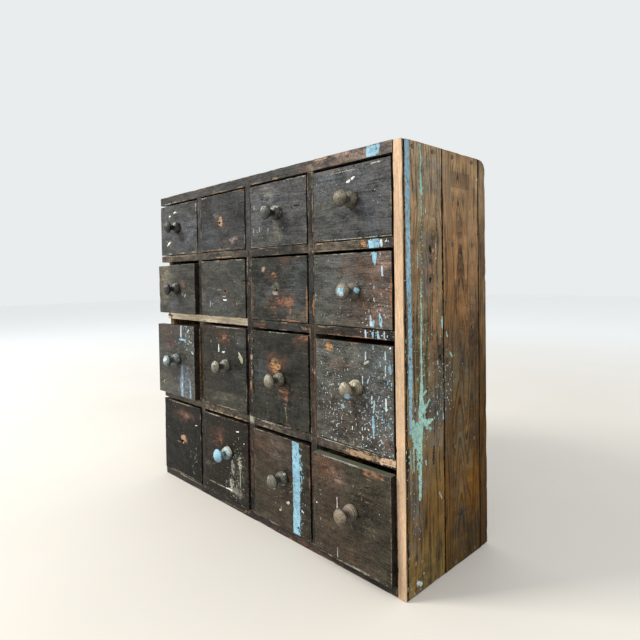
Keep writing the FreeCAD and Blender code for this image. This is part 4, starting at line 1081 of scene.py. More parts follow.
def spilt(name, body, strokes, low, high, look, seed, inset=1.3):
    """All the paint on a board's main face as one piece, lying on the board's worn surface."""
    axis, sign = look["face"]
    axes = [a for a in range(3) if a != axis]
    flips = (axis == 1) == (sign > 0)
    places, heights, quads, coats, start = [], [], [], [], 0
    for number, (tint, points) in enumerate(strokes):
        place, height, quad = stroke_sheet(points, low[axes] + inset, high[axes] - inset,
                                           seed + 3 * number)
        if len(quad) == 0:
            continue
        places.append(place)
        heights.append(height)
        quads.append((quad[:, ::-1] if flips else quad) + start)
        tone = 0.74 + 0.46 * noise(np.append(points[0][:2], number)[None], 1.7, seed)[0]
        coats.append(np.tile(tone * linear(TINTS[tint]), (len(place), 1)))
        start += len(place)
    if not places:
        return None
    flat = np.zeros((start, 3))
    flat[:, axes] = np.concatenate(places)
    flat[:, axis] = high[axis] if sign > 0 else low[axis]
    base, _ = finish_board(flat, low, high, look, look["seed"])
    away = np.zeros(3)
    away[axis] = sign
    top = base + away * np.concatenate(heights)[:, None]
    under = base - away * FILM_DEPTH
    points, faces = closed_film(top, under, np.concatenate(quads))
    coat = np.concatenate(coats)
    return make_piece(name, body, PAINT, points, faces, {"coat": np.concatenate([coat, coat])})


# ---------------------------------------------------------------- drawers
def opening_of(key, low, high):
    """The opening that a front closes, as its corners in X and Z, and its size."""
    size = np.array([high[0] - low[0] + 2 * SIDE_GAP, ROW_HEIGHT[int(key[1])]])
    return np.array([low[0] - SIDE_GAP, low[2] - FLOOR_GAP]), size


def front_look(key, low, high):
    """How a drawer's front looks, its features turned from shares of the opening to places."""
    front = FRONTS[key]
    corner, size = opening_of(key, low, high)
    patches = [(tint, corner[0] + u * size[0], corner[1] + v * size[1], *rest)
               for tint, u, v, *rest in front["patches"]]
    middle = (low + high) / 2
    knots = [(middle[0], middle[2], front["knot"])] if "knot" in front else []
    # The other faces of a front are near black: paint and dirt, darkened further as painted shade for the
    # gaps round the front.
    look = {"along": 0, "face": (1, -1), "coat": COATS[front["coat"]], "patches": patches,
            "knots": knots, "wear": front.get("wear", 1.0), "relief": 0.2, "edge": ("tan", 0.8),
            "soft": 1.1, "other_faces": (34, 31, 28), "speck": front.get("speck", 0.12),
            "blisters": front.get("blisters", 0.12), "bare_faces": front.get("bare_faces", ()),
            "seed": FRONT_SEED + 53 * KEYS.index(key)}
    if key in SLUMPED:
        look["slump"] = SLUMPED[key]
    if key in KNOBS:
        # The knob's painted shadow on the front, below and to the right of it.
        tint, across, up, *rest = KNOB_SHADOW
        patches.append((tint, middle[0] + across, middle[2] + up, *rest))
    return look


def drawer_front(key):
    low, high = corners(f"drawer_{key}_front")
    look = front_look(key, low, high)
    hole = None
    if key in EMPTY_HOLES:
        middle = (low + high) / 2
        hole = (middle[0] + EMPTY_HOLES[key][0], middle[2] + EMPTY_HOLES[key][1])
    piece = boards(f"front_{key}", f"drawer_{key}", BLACK, [(low, high)], look, look["seed"],
                   FRONT_GRID, hole)
    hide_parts(f"drawer_{key}_front")
    corner, size = opening_of(key, low, high)
    strokes = [(tint, [(corner[0] + u * size[0], corner[1] + v * size[1], r) for u, v, r in line])
               for tint, line in FRONTS[key]["strokes"]]
    splashes = [(tint, corner[0] + u * size[0], corner[1] + v * size[1], *rest)
                for tint, u, v, *rest in FRONTS[key]["splashes"]]
    strokes += spatter(splashes, look["seed"])
    paint = spilt(f"paint_{key}", f"drawer_{key}", strokes, low, high, look,
                  PAINT_SEED + look["seed"])


def tray(key):
    """The drawer's tray: bottom, two sides and a back of thin old pine."""
    low, high = corners(f"drawer_{key}_box")
    deck = low[2] + TRAY_BOTTOM
    parts = [
        ((low[0], low[1], low[2]), (high[0], high[1], deck)),
        ((low[0], low[1], deck), (low[0] + TRAY_SIDE, high[1], high[2])),
        ((high[0] - TRAY_SIDE, low[1], deck), (high[0], high[1], high[2])),
        ((low[0] + TRAY_SIDE, high[1] - TRAY_SIDE, deck),
         (high[0] - TRAY_SIDE, high[1], high[2])),
    ]
    look = {"along": 1, "face": (2, 1), "coat": (176, 146, 106), "patches": [], "knots": [],
            "wear": 0.5, "relief": 0.22, "edge": ("brown", 0.6), "soft": 2.5, "speck": 0.0}
    piece = boards(f"tray_{key}", f"drawer_{key}", PINE, parts, look,
                   TRAY_SEED + 17 * KEYS.index(key), TRAY_GRID)
    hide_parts(f"drawer_{key}_box")


def arc(start, end, radius, count):
    """Points of the shorter arc between two points, standing off to the left of its run."""
    start, end = np.array(start, float), np.array(end, float)
    chord = end - start
    half = np.hypot(*chord) / 2
    left = np.array([-chord[1], chord[0]]) / (2 * half)
    centre = (start + end) / 2 - left * math.sqrt(max(radius**2 - half**2, 0))
    first = math.atan2(*(start - centre)[::-1])
    last = math.atan2(*(end - centre)[::-1])
    turn = (last - first + math.pi) % (2 * math.pi) - math.pi
    angles = first + turn * np.linspace(0, 1, count)
    return centre + radius * np.stack([np.cos(angles), np.sin(angles)], 1)


def revolve(profile, centre, around=72):
    """A closed surface turned about Y from (radius, out) points that start and end on the axis."""
    angles = np.linspace(0, 2 * math.pi, around, endpoint=False)
    radius, out = profile[:, 0], profile[:, 1]
    x = centre[0] + np.outer(radius, np.cos(angles))
    z = centre[2] + np.outer(radius, np.sin(angles))
    y = np.repeat((centre[1] - out)[:, None], around, 1)
    points = np.stack([x.ravel(), y.ravel(), z.ravel()], 1)
    ring = np.arange(around)
    quads = []
    for level in range(len(profile) - 1):
        a, b = level * around + ring, level * around + np.roll(ring, -1)
        quads.append(np.stack([a, a + around, b + around, b], 1))
    return points, np.concatenate(quads)


# The knob's section, as distances from its axis and out from the front board, in millimetres.
KNOB_BASE = 10.8
KNOB_NECK = 5.0
NECK_FROM = 11.0
NECK_TO = 16.0
HEAD_RADIUS = 11.6
HEAD_FROM = 22.0
KNOB_LENGTH = 28.5
HOLLOW_RADIUS = 8.6
DOME_RISE = 6.0
ON_AXIS = 0.02
# The turned rings: the space between two on the collar, and the radius of the face's ring.
RING_PITCH = 2.9
FACE_RING = 7.4


def knob_profile():
    """Half of the knob's section: its base, domed collar, neck, the head's underside and dome."""
    base = np.array([(ON_AXIS, 0.3), (KNOB_BASE - 0.2, 0.3)])
    collar = arc((KNOB_NECK, NECK_FROM), (KNOB_BASE, 0.0), HOLLOW_RADIUS, 40)[::-1]
    neck = np.stack([np.full(8, KNOB_NECK), np.linspace(NECK_FROM + 0.4, NECK_TO - 0.4, 8)], 1)
    cup = arc((HEAD_RADIUS - 0.1, HEAD_FROM + 0.2), (KNOB_NECK, NECK_TO), HOLLOW_RADIUS, 22)[::-1]
    dome_radius = (HEAD_RADIUS**2 + DOME_RISE**2) / (2 * DOME_RISE)
    angle = np.linspace(math.asin(HEAD_RADIUS / dome_radius), 0.0, 30)
    height = KNOB_LENGTH - dome_radius * (1 - np.cos(angle))
    dome = np.stack([dome_radius * np.sin(angle), height], 1)
    dome[-1, 0] = ON_AXIS
    return np.concatenate([base, collar, neck, cup, dome])


def turned_knob(key):
    """A turned knob: ringed domed collar, narrow neck and mushroom head, scuffed and spattered."""
    low, high = corners(f"knob_{key}")
    style = KNOBS[key]
    front = corners(f"drawer_{key}_front")[0][1]
    centre = np.array([(low[0] + high[0]) / 2, front, (low[2] + high[2]) / 2])
    points, faces = revolve(knob_profile(), centre)
    away = points - centre
    spread = np.maximum(np.hypot(away[:, 0], away[:, 2]), 1e-6)
    out = -away[:, 1]
    seed = KNOB_SEED + 29 * KEYS.index(key)

    # The shape: rings cut into the collar, round the head and on its face, and dents.
    ring = 0.5 + 0.5 * np.cos(out * 2 * math.pi / RING_PITCH)
    ring = smooth(0.55, 1.0, ring) * smooth(0.5, 1.6, out) * smooth(11.5, 9.5, out)
    ring += smooth(0.8, 0.0, np.abs(out - HEAD_FROM)) * 0.6
    face_ring = smooth(0.9, 0.0, np.abs(spread - FACE_RING)) * (out > HEAD_FROM + 0.8)
    dent = 0.3 * rough(points, 5.0, seed) + 0.5 * smooth(0.66, 0.85, rough(points, 7.0, seed + 1))
    inward = style["rings"] * ring + dent * (spread > 0.5)
    inward = np.minimum(inward, 0.5 * spread)
    points[:, 0] -= away[:, 0] / spread * inward
    points[:, 2] -= away[:, 2] / spread * inward
    points[:, 1] += (0.7 * style["rings"] * face_ring + 0.6 * dent) * (out > HEAD_FROM)

    # The coat, and the bare or painted places on it.
    coat = np.tile(linear(style["coat"]), (len(points), 1))
    coat *= (0.7 + 0.6 * rough(points, 8.0, seed + 2))[:, None]
    patch = np.tile(linear(TINTS["tan"]), (len(points), 1))
    amount = 0.5 * smooth(0.5, 0.75, rough(points, 6.0, seed + 3)) * smooth(9.0, 11.5, spread)
    for number, (tint, across, up, stand, radius, strength) in enumerate(style["patches"]):
        ragged = 0.8 * (rough(points, 4, seed + 9 + number) - 0.5)
        gap = np.linalg.norm(away - np.array([across, -stand, up]), axis=1) / radius
        weight = strength * smooth(1.25, 0.75, gap + ragged)
        tint_over(patch, tint, smooth(0, 0.35, weight))
        amount = np.maximum(amount, weight)
    coat *= (1 - 0.6 * ring * style["rings"])[:, None]

    # Painted shade, with a little grime: darker in the neck, at the foot, behind and round the head's
    # rim, on the lower half and on the right of the collar; the patches are darkened on the lower half
    # too.
    below = smooth(4.0, -9.0, away[:, 2])
    painted_shade = smooth(9.0, 5.6, spread) * (out < 21) + smooth(3.0, 0.0, out)
    painted_shade += 0.8 * smooth(24.0, 21.5, out) * (out > 17)
    painted_shade += 0.4 * smooth(7.0, 11.4, spread) * (out > 20)
    painted_shade += 0.75 * below + 0.3 * smooth(2.0, 11.0, away[:, 0]) * (out < 12)
    coat *= (1.2 - 0.92 * np.clip(painted_shade, 0, 1))[:, None]
    patch *= (1.1 - 0.5 * below)[:, None]
    fields = {"coat": coat, "patch": patch, "amount": amount,
              "speck": np.full(len(points), 0.3), "grain": points[:, (1, 0, 2)] + seed}
    piece = make_piece(f"turned_knob_{key}", f"drawer_{key}", KNOB, points, faces, fields)
    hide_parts(f"knob_{key}")


# The knob's screw, in millimetres: radii, the head's height and slot, and the shank's length.
SCREW_SHANK = 1.9
SCREW_HEAD = 4.0
SCREW_HEAD_HEIGHT = 2.2
SCREW_SLOT_DEPTH = 0.7
SCREW_SLOT_HALF = 0.7
SCREW_SHOWN = 8.0


def knob_screw(key):
    """The head of a knob's screw, inside the drawer."""
    low, high = corners(f"knob_{key}")
    centre = np.array([(low[0] + high[0]) / 2, 0.0, (low[2] + high[2]) / 2])
    outer = -high[1]
    inner = outer + SCREW_HEAD_HEIGHT
    end = inner + SCREW_SHOWN
    profile = np.array([(ON_AXIS, outer), (2.6, outer), (3.6, outer + 0.35),
                        (SCREW_HEAD, outer + 0.9), (SCREW_HEAD, inner), (SCREW_SHANK, inner),
                        (SCREW_SHANK, end), (ON_AXIS, end)])
    points, faces = revolve(profile, centre, 32)
    slot_there = points[:, 1] > high[1] - 0.5
    slot_there &= np.abs(points[:, 2] - centre[2]) < SCREW_SLOT_HALF
    points[slot_there, 1] -= SCREW_SLOT_DEPTH
    piece = make_piece(f"screw_{key}", f"drawer_{key}", IRON, points, faces)


for key in KEYS:
    drawer_front(key)
    tray(key)
    if key in KNOBS:
        turned_knob(key)
        knob_screw(key)


# ---------------------------------------------------------------- the carcass
# Patches on the carcass's front, as (tint, x, z, half width, half height, strength) in mm.
FRAME_PATCHES = [
    ("pink", 225, 552, 80, 12, 0.6), ("pale", 165, 557, 15, 1.8, 0.8), ("brown", 190, 550, 30, 5, 0.5),
    ("rust", 128, 548, 8, 3, 0.85), ("tan", 230, 548, 40, 1.6, 0.8),
    ("chalk", -255, 546, 34, 1.2, 0.85), ("brown", -150, 556, 30, 3, 0.5),
    ("tan", -200, 436, 160, 10, 0.4), ("pale", -75, 433, 26, 1.8, 0.8),
    ("tan", -230, 441, 50, 1.4, 0.85), ("tan", 205, 438, 74, 9, 0.45), ("amber", 239, 437, 7, 5, 0.8),
    ("pale", 160, 442, 14, 1.2, 0.85), ("tan", 200, 431.5, 60, 1.2, 0.8), ("rust", 20, 321, 18, 4, 0.8),
    ("orange", 124, 322, 7, 3, 0.8), ("tan", 168, 327, 16, 1.6, 0.85),
    ("orange", 215, 317, 60, 1.2, 0.8), ("brown", 220, 323, 60, 8, 0.5),
    ("tan", -170, 165, 150, 10, 0.5), ("chalk", -240, 169, 60, 1.4, 0.85),
    ("pale", -80, 160, 60, 1.3, 0.8), ("celadon", -7, 165, 8, 6, 0.8), ("tan", 60, 163, 74, 6, 0.35),
    ("chalk", 50, 169, 44, 1.2, 0.88), ("pale", 30, 161, 24, 1.2, 0.84), ("tan", 215, 165, 60, 5, 0.45),
    ("pale", 238, 164, 40, 4.2, 0.84), ("peach", 273, 165, 14, 5.5, 0.92),
    ("chalk", 205, 170.3, 80, 0.9, 0.85), ("slate", -154, 500, 8, 60, 0.5),
    ("tan", -148.5, 245, 1.3, 76, 0.88), ("orange", -152, 215, 5, 7, 0.8),
    ("brown", -154, 250, 7, 80, 0.6), ("tan", -148.5, 90, 1.2, 60, 0.8),
    ("soot", 200, 322, 120, 9, 0.35), ("soot", 0, 6, 400, 8, 0.3), ("slate", -6, 490, 8, 70, 0.45),
    ("chalk", -9, 415, 1.4, 22, 0.84), ("soot", -6, 120, 14, 240, 0.74), ("rust", -4, 245, 4, 40, 0.5),
    ("pink", -4, 268, 3, 5, 0.85), ("pink", -2, 243, 2.4, 6, 0.85), ("orange", -6, 222, 2.6, 8, 0.82),
    ("rust", -7, 110, 4, 50, 0.6), ("tan", 146, 500, 1.3, 44, 0.85),
    ("orange", 145.5, 352, 2.2, 16, 0.88), ("rust", 146, 240, 1.8, 76, 0.9),
    ("brown", 141, 245, 8, 80, 0.7), ("pink", 143, 262, 3, 4, 0.8), ("rust", 137, 110, 2, 50, 0.8),
    ("chalk", -200, 11.5, 64, 1.0, 0.84), ("tan", -60, 4, 40, 1.4, 0.84),
    ("orange", -22, 7, 8, 3, 0.82), ("rust", 120, 4, 70, 4, 0.6), ("tan", 200, 11.5, 60, 0.9, 0.8),
]
FRAME_STROKES = [
    ("sky", [(249, 555, 4.6), (249, 549, 4.8)]), ("sky", [(256, 554, 5.0), (256, 548, 5.0)]),
    ("sky", [(263, 556, 3.4), (262, 549, 3.6)]), ("sky", [(251, 441, 4.6), (252, 434, 5.0)]),
    ("sky", [(258, 441, 4.8), (260, 434, 4.4)]), ("ice", [(267, 439, 2.0), (268, 433, 1.6)]),
    ("ice", [(274, 438, 1.2)]), ("ice", [(249, 440, 1.2), (250, 435, 1.0)]),
    ("ice", [(240, 326, 1.0), (240, 318, 1.2)]), ("sky", [(252, 324, 1.6), (252, 319, 1.2)]),
    ("sky", [(260, 326, 1.2), (261, 318, 2.0)]), ("ice", [(270, 326, 0.9), (270, 319, 1.1)]),
    ("bone", [(-9, 166, 2.2), (-4, 163, 1.8)]),
]
FRAME_SPLASHES = [
    ("ice", 258, 436, 10, 4, 26, 0.9), ("ice", 256, 322, 14, 4, 34, 0.9),
    ("bone", -5, 250, 3, 40, 34, 0.8), ("bone", -6, 165, 5, 4, 14, 0.9),
    ("bone", 240, 552, 30, 4, 12, 0.8), ("bone", -6, 440, 3, 60, 14, 0.8),
]
# The right side's features, as places along Y and Z from its front lower corner, in mm.
SIDE_PATCHES = [
    ("char", 58, 427, 10, 20, 0.74), ("brown", 66, 448, 12, 12, 0.6), ("char", 58, 390, 7, 12, 0.74),
    ("soot", 58, 427, 3.4, 7, 0.9), ("soot", 58, 390, 3, 5, 0.9), ("moss", 44, 470, 12, 90, 0.55),
    ("soot", 21.5, 300, 0.7, 150, 0.84), ("soot", 30, 470, 0.6, 60, 0.8),
    ("soot", 62, 340, 0.9, 40, 0.86), ("soot", 108, 200, 0.6, 120, 0.8),
    ("soot", 148, 430, 0.6, 90, 0.8), ("char", 50, 330, 3, 120, 0.6), ("soot", 74, 462, 0.7, 60, 0.82),
    ("slate", 48, 400, 12, 60, 0.4), ("moss", 78, 400, 8, 80, 0.4), ("moss", 70, 530, 12, 40, 0.4),
    ("brown", 129, 300, 14, 22, 0.72), ("soot", 128, 303, 4, 7, 0.74), ("char", 129, 285, 7, 14, 0.6),
    ("soot", 79, 290, 2.4, 8, 0.95), ("char", 164, 330, 12, 60, 0.55), ("char", 130, 434, 7, 62, 0.6),
    ("soot", 72, 288, 16, 26, 0.74), ("soot", 84, 270, 12, 60, 0.6), ("char", 66, 235, 26, 30, 0.7),
    ("char", 180, 302, 30, 40, 0.7), ("slate", 62, 215, 36, 46, 0.62), ("slate", 25, 120, 18, 56, 0.6),
    ("slate", 60, 525, 34, 36, 0.5), ("moss", 100, 270, 36, 46, 0.5), ("char", 40, 300, 16, 60, 0.5),
    ("char", 12, 330, 8, 60, 0.6), ("char", 30, 30, 36, 34, 0.55), ("char", 150, 30, 50, 40, 0.6),
    ("char", 175, 200, 22, 60, 0.5), ("tan", 108, 441, 14, 1.6, 0.85), ("tan", 110, 520, 16, 26, 0.45),
    ("chalk", 27, 12, 6, 4, 0.8), ("orange", 66, 340, 10, 60, 0.35), ("moss", 115, 110, 22, 90, 0.3),
    ("tan", 160, 420, 14, 90, 0.3), ("moss", 140, 200, 20, 90, 0.35), ("soot", 6, 170, 5, 20, 0.8),
    ("soot", 62, 165, 4, 14, 0.8), ("soot", 87, 280, 1.2, 3000, 1.7, 0.9),
    ("soot", 179.4, 280, 1.2, 3000, 1.7, 0.7), ("soot", 4.6, 280, 1.7, 3000, 1.1),
    ("soot", 4, 545, 3, 4, 0.9), ("soot", 4, 440, 2, 3, 0.9), ("soot", 16, 320, 3, 8, 0.8),
    ("soot", 3, 288, 2, 3, 0.9), ("tan", 100, 500, 6, 70, 0.4),
]
SIDE_STROKES = [
    ("storm", [(11, 559, 4.5), (11, 520, 4.6)]), ("storm", [(11, 530, 4.6), (11.5, 450, 4.1)]),
    ("storm", [(12, 460, 4.0), (11.5, 380, 4.4)]), ("storm", [(12, 390, 4.2), (13.5, 320, 3.8)]),
    ("storm", [(13.5, 330, 3.9), (13, 260, 4.0)]), ("storm", [(13, 270, 3.6), (13, 205, 2.6)]),
    ("teal", [(38, 557, 1.2), (40, 540, 1.4), (38.5, 520, 1.2)]),
    ("teal", [(39, 524, 1.4), (40, 497, 2.6)]), ("teal", [(40, 488, 0.9), (40.5, 470, 0.7)]),
    ("teal", [(30, 427, 0.7), (31, 405, 1.0)]), ("teal", [(38, 392, 0.9), (37, 372, 0.8)]),
    ("teal", [(37, 366, 0.8), (37.5, 340, 1.2)]), ("teal", [(37, 346, 1.1), (36.5, 312, 1.4)]),
    ("teal", [(36, 314, 1.3), (36.5, 262, 1.9)]),
    ("teal", [(36, 268, 2.4), (35, 250, 3.4), (36, 232, 5.2), (40, 226, 4.0)]),
    ("teal", [(44, 230, 2.6), (54, 238, 1.4)]), ("teal", [(34, 230, 4.4), (33, 200, 5.4)]),
    ("teal", [(17, 216, 3.4), (20, 202, 5.6), (24, 188, 6.0)]),
    ("teal", [(25, 212, 3.2), (30, 198, 6.0)]),
    ("teal", [(36, 214, 3.6), (48, 209, 4.6), (60, 211, 2.0)]),
    ("sky", [(28, 205, 2.2), (26, 192, 2.8)]), ("teal", [(46, 204, 2.0), (56, 200, 2.2)]),
    ("teal", [(38, 246, 2.0), (46, 250, 1.6)]),
    ("teal", [(33, 198, 4.2), (32, 160, 3.4), (31, 118, 2.6)]),
    ("teal", [(27, 186, 2.8), (26, 156, 1.2)]), ("teal", [(12, 182, 1.0), (12, 160, 0.8)]),
    ("teal", [(18, 184, 1.6), (18.5, 156, 0.9)]),
    ("teal", [(84, 340, 2.4), (86, 331, 4.0), (87, 324, 1.8)]),
    ("teal", [(94, 322, 0.8), (96, 315, 1.3)]), ("teal", [(103, 291, 1.8), (107, 287, 1.6)]),
    ("teal", [(85, 214, 1.5), (85, 208, 1.6)]), ("cream", [(177, 530, 1.4)]),
    ("bone", [(75, 112, 1.2), (79, 104, 1.4)]), ("ice", [(24, 14, 2.6), (31, 10, 2.6)]),
    ("teal", [(44, 162, 1.6), (45, 157, 1.0)]),
]
SIDE_SPLASHES = [
    ("teal", 40, 270, 14, 50, 90, 1.0), ("ice", 90, 262, 16, 28, 90, 0.85),
    ("teal", 60, 225, 18, 20, 60, 1.1), ("teal", 22, 195, 10, 18, 70, 1.2),
    ("bone", 24, 90, 10, 34, 34, 1.0), ("teal", 39, 440, 2.4, 60, 80, 1.0),
    ("teal", 37, 320, 2.4, 44, 70, 1.3), ("ice", 62, 430, 16, 40, 26, 0.8),
    ("bone", 24, 14, 12, 8, 18, 1.2), ("sky", 12, 390, 6, 110, 40, 0.9),
    ("bone", 110, 330, 50, 120, 24, 0.7),
]
# Where a label once was, and the rear board's arched figure, both in the row's own places.
LABEL_GHOST = ("char", 32.5, 523.5, 24, 11, 0.4)
SIDE_ARCH = (29.0, 34.0, 0.13)
SIDE_KNOTS = [(66, 448, 7.0), (58, 427, 5.0), (58, 390, 4.5), (127, 307, 13.0)]
# The side's and the back's colours from the foot up, as (height mm, colour). The dark, warm foot and the
# paler, greyer top are partly painted light: warm light bounced up from below and more light at the top.
FRONT_BOARD_TONES_AND_LIGHT = [(0, (108, 90, 50)), (90, (100, 74, 34)), (250, (112, 96, 66)),
                    (400, (116, 94, 68)), (540, (140, 120, 92))]
REAR_BOARD_TONES_AND_LIGHT = [(0, (80, 58, 16)), (100, (90, 58, 8)), (250, (86, 62, 30)), (400, (126, 94, 62)),
                   (540, (138, 112, 82))]
BACK_TONES_AND_LIGHT = [(0, (72, 48, 8)), (100, (84, 58, 12)), (250, (70, 50, 18)), (400, (112, 88, 60)),
             (540, (112, 96, 74))]

# The carcass's body, its front along Y, the depth that the laps meet at, and its boards, in mm.
CARCASS = "carcass"
FRONT = -100.0
MIDDLE_DEPTH = -10.0
LEFT_SET_BACK = 16.0
SIDE_THICKNESS = 14.0
BARE_SHELF = "shelf_left_2"
BACK_ROUND = 18.0


def frame_look(number, along, **changes):
    """Black-painted frame boards: worn on the front edge, plain dirty wood behind it."""
    look = {"along": along, "face": (1, -1), "coat": (48, 46, 44), "patches": FRAME_PATCHES,
            "knots": [], "wear": 0.9, "relief": 0.35, "edge": ("tan", 0.75), "soft": 1.6,
            "other_faces": (92, 78, 62), "worn_from": -84.0, "one_board": True, "speck": 0.3,
            "seed": FRAME_SEED + 19 * number}
    look.update(changes)
    return look


def lap_left(low, high, near, end, divider):
    """A left shelf's lapped parts: whole in front, in two behind the divider's slot."""
    return [
        ((low[0], near, low[2]), (high[0], low[1] + LEFT_SET_BACK, high[2])),
        ((low[0] + SIDE_THICKNESS, low[1] + LEFT_SET_BACK, low[2]), (high[0], MIDDLE_DEPTH, high[2])),
        ((low[0] + SIDE_THICKNESS, MIDDLE_DEPTH, low[2]), (divider[0], end, high[2])),
        ((divider[1], MIDDLE_DEPTH, low[2]), (high[0], end, high[2])),
    ]


def lap_right(low, high, divider):
    """A right shelf's lapped parts: in two before the divider's slot, whole behind."""
    return [
        ((low[0], low[1], low[2]), (divider[0], MIDDLE_DEPTH, high[2])),
        ((divider[1], low[1], low[2]), (high[0], MIDDLE_DEPTH, high[2])),
        ((low[0], MIDDLE_DEPTH, low[2]), (high[0], high[1], high[2])),
    ]


def shelves():
    front = corners("bottom_board")[0][1]
    for side, divider_node in (("left", "divider_left"), ("right", "divider_right")):
        divider = [c[0] for c in corners(divider_node)]
        for level in (1, 2, 3):
            node = f"shelf_{side}_{level}"
            low, high = corners(node)
            look = frame_look(level + 4 * (side == "right"), 0)
            if side == "left":
                near, low[1] = low[1], front
                parts = lap_left(low, high, near, high[1], divider)
            else:
                parts = lap_right(low, high, divider)
            material, slot = BLACK, "frame_paint"
            if node == BARE_SHELF:
                # Its coat is paler than the bare wood itself: painted light on a rail that lies in the
                # shadow of the drawer above.
                look.update(coat=(242, 224, 194), worn_from=-70.0, edge=("brown", 0.5),
                            patches=[("char", -290, 322, 12, 7, 0.8), ("brown", -130, 318, 60, 1.5, 0.6)],
                            other_faces=(150, 122, 90), speck=0.05)
                material, slot = PINE, "bare_pale_wood"
            piece = boards(f"rail_{side}_{level}", CARCASS, material, parts, look, look["seed"],
                           SHELF_GRID)
            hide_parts(node)


def dividers():
    for number, (node, cut_in_front) in enumerate((("divider_left", True), ("divider_right", False))):
        low, high = corners(node)
        shelf = f"shelf_{'left' if cut_in_front else 'right'}"
        levels = [low[2]]
        for level in (3, 2, 1):
            under, over = corners(f"{shelf}_{level}")
            levels += [under[2], over[2]]
        levels.append(high[2])
        cut_from, cut_to = (low[1], MIDDLE_DEPTH) if cut_in_front else (MIDDLE_DEPTH, high[1])
        whole_from, whole_to = (MIDDLE_DEPTH, high[1]) if cut_in_front else (low[1], MIDDLE_DEPTH)
        parts = [((low[0], whole_from, low[2]), (high[0], whole_to, high[2]))]
        parts += [((low[0], cut_from, a), (high[0], cut_to, b))
                  for a, b in zip(levels[::2], levels[1::2])]
        look = frame_look(10 + number, 2)
        piece = boards(f"upright_{node}", CARCASS, BLACK, parts, look, look["seed"],
                       UPRIGHT_GRID)
        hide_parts(node)


def outer_frame():
    low, high = corners("center_divider")
    look = frame_look(14, 2)
    piece = boards("upright_center", CARCASS, BLACK, [(low, high)], look, look["seed"],
                   UPRIGHT_GRID)
    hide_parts("center_divider")
    top_low, top_high = corners("top_boards")
    parts = [(top_low, (low[0], top_high[1], top_high[2])),
             ((high[0], top_low[1], top_low[2]), top_high)]
    look = frame_look(15, 0, worn_from=None, coat=(60, 59, 57), other_faces=(72, 65, 58), soft=3.0,
                      speck=0.2)
    del look["one_board"]
    piece = boards("top_planks", CARCASS, BLACK, parts, look, look["seed"], TOP_GRID)
    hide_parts("top_boards")
    low, high = corners("bottom_board")
    look = frame_look(17, 0, worn_from=None, other_faces=(88, 74, 58))
    piece = boards("bottom_plank", CARCASS, BLACK, [(low, high)], look, look["seed"],
                   BOTTOM_GRID)
    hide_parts("bottom_board")


def frame_paint():
    """Spots and patches of paint on the carcass's front, each on the board it lies on."""
    strokes = FRAME_STROKES + spatter(FRAME_SPLASHES, FRAME_SPLASH_SEED)
    top_look = frame_look(15, 0, worn_from=None)
    top_look["seed"] += BOARD_STEP
    homes = {"top_boards": top_look, "shelf_right_1": frame_look(5, 0),
             "shelf_right_2": frame_look(6, 0), "center_divider": frame_look(14, 2)}
    for node, look in homes.items():
        low, high = corners(node)
        if node == "top_boards":
            low[0] = corners("center_divider")[1][0]
        if node.startswith("shelf_right"):
            low[0] = corners("divider_right")[1][0]
            high[1] = MIDDLE_DEPTH
        here = [s for s in strokes
                if low[0] < s[1][0][0] < high[0] and low[2] < s[1][0][1] < high[2]]
        paint = spilt(f"paint_{node}", CARCASS, here, low, high, look,
                      FRAME_PAINT_SEED + look["seed"], 0.9)


def side_look(number, low, high, fade):
    """One upright board of the right side, with its share of the side's features."""
    knots = [(z, FRONT + y, r) for y, z, r in SIDE_KNOTS if low[1] < FRONT + y < high[1]]
    look = {"along": 2, "face": (0, 1), "fade": fade, "cloud": 0.4,
            "patches": [(tint, FRONT + y, z, *rest) for tint, y, z, *rest in SIDE_PATCHES],
            "knots": knots, "wear": 1.3, "relief": 0.55, "edge": ("soot", 1.1), "soft": 1.0,
            "other_faces": (34, 28, 22), "speck": 0.2,
            "seed": SIDE_SEED + 37 * number}
    if low[1] <= FRONT + 1:
        look["bare_faces"] = [((1, -1), "peach")]
    else:
        look["arch"] = SIDE_ARCH
        look["ghosts"] = [LABEL_GHOST]
    return look


def side_boards():
    fades = {"side_board_right_front": FRONT_BOARD_TONES_AND_LIGHT, "side_board_right_rear": REAR_BOARD_TONES_AND_LIGHT}
    drops = spatter(SIDE_SPLASHES, SIDE_SPLASH_SEED)
    for number, (node, fade) in enumerate(fades.items()):
        low, high = corners(node)
        look = side_look(number, low, high, fade)
        piece = boards(f"{node}_plank", CARCASS, SIDE, [(low, high)], look, look["seed"],
                       SIDE_GRID)
        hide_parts(node)
        strokes = [(tint, [(FRONT + y, z, r) for y, z, r in line])
                   for tint, line in SIDE_STROKES + drops
                   if low[1] < FRONT + line[0][0] < high[1]]
        paint = spilt(f"paint_{node}", CARCASS, strokes, low, high, look,
                      SIDE_PAINT_SEED + number, 0.8)


def left_side():
    low, high = corners("side_boards_left")
    middle = (low[1] + high[1]) / 2
    parts = [(low, (high[0], middle, high[2])), ((low[0], middle, low[2]), high)]
    look = {"along": 2, "face": (0, -1), "fade": FRONT_BOARD_TONES_AND_LIGHT,
            "patches": [("tan", -40, 400, 14, 70, 0.45), ("char", 40, 120, 24, 70, 0.5)],
            "knots": [(330, -30, 9.0), (180, 45, 7.0)],
            "wear": 1.4, "relief": 0.55, "edge": ("soot", 0.9), "soft": 1.0, "speck": 0.1}
    piece = boards("left_planks", CARCASS, SIDE, parts, look, LEFT_SEED, LEFT_GRID)
    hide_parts("side_boards_left")


# The widths of the back's planks, from the left, in millimetres.
BACK_PLANKS = (112.0, 131.0, 118.0, 127.0, 112.0)


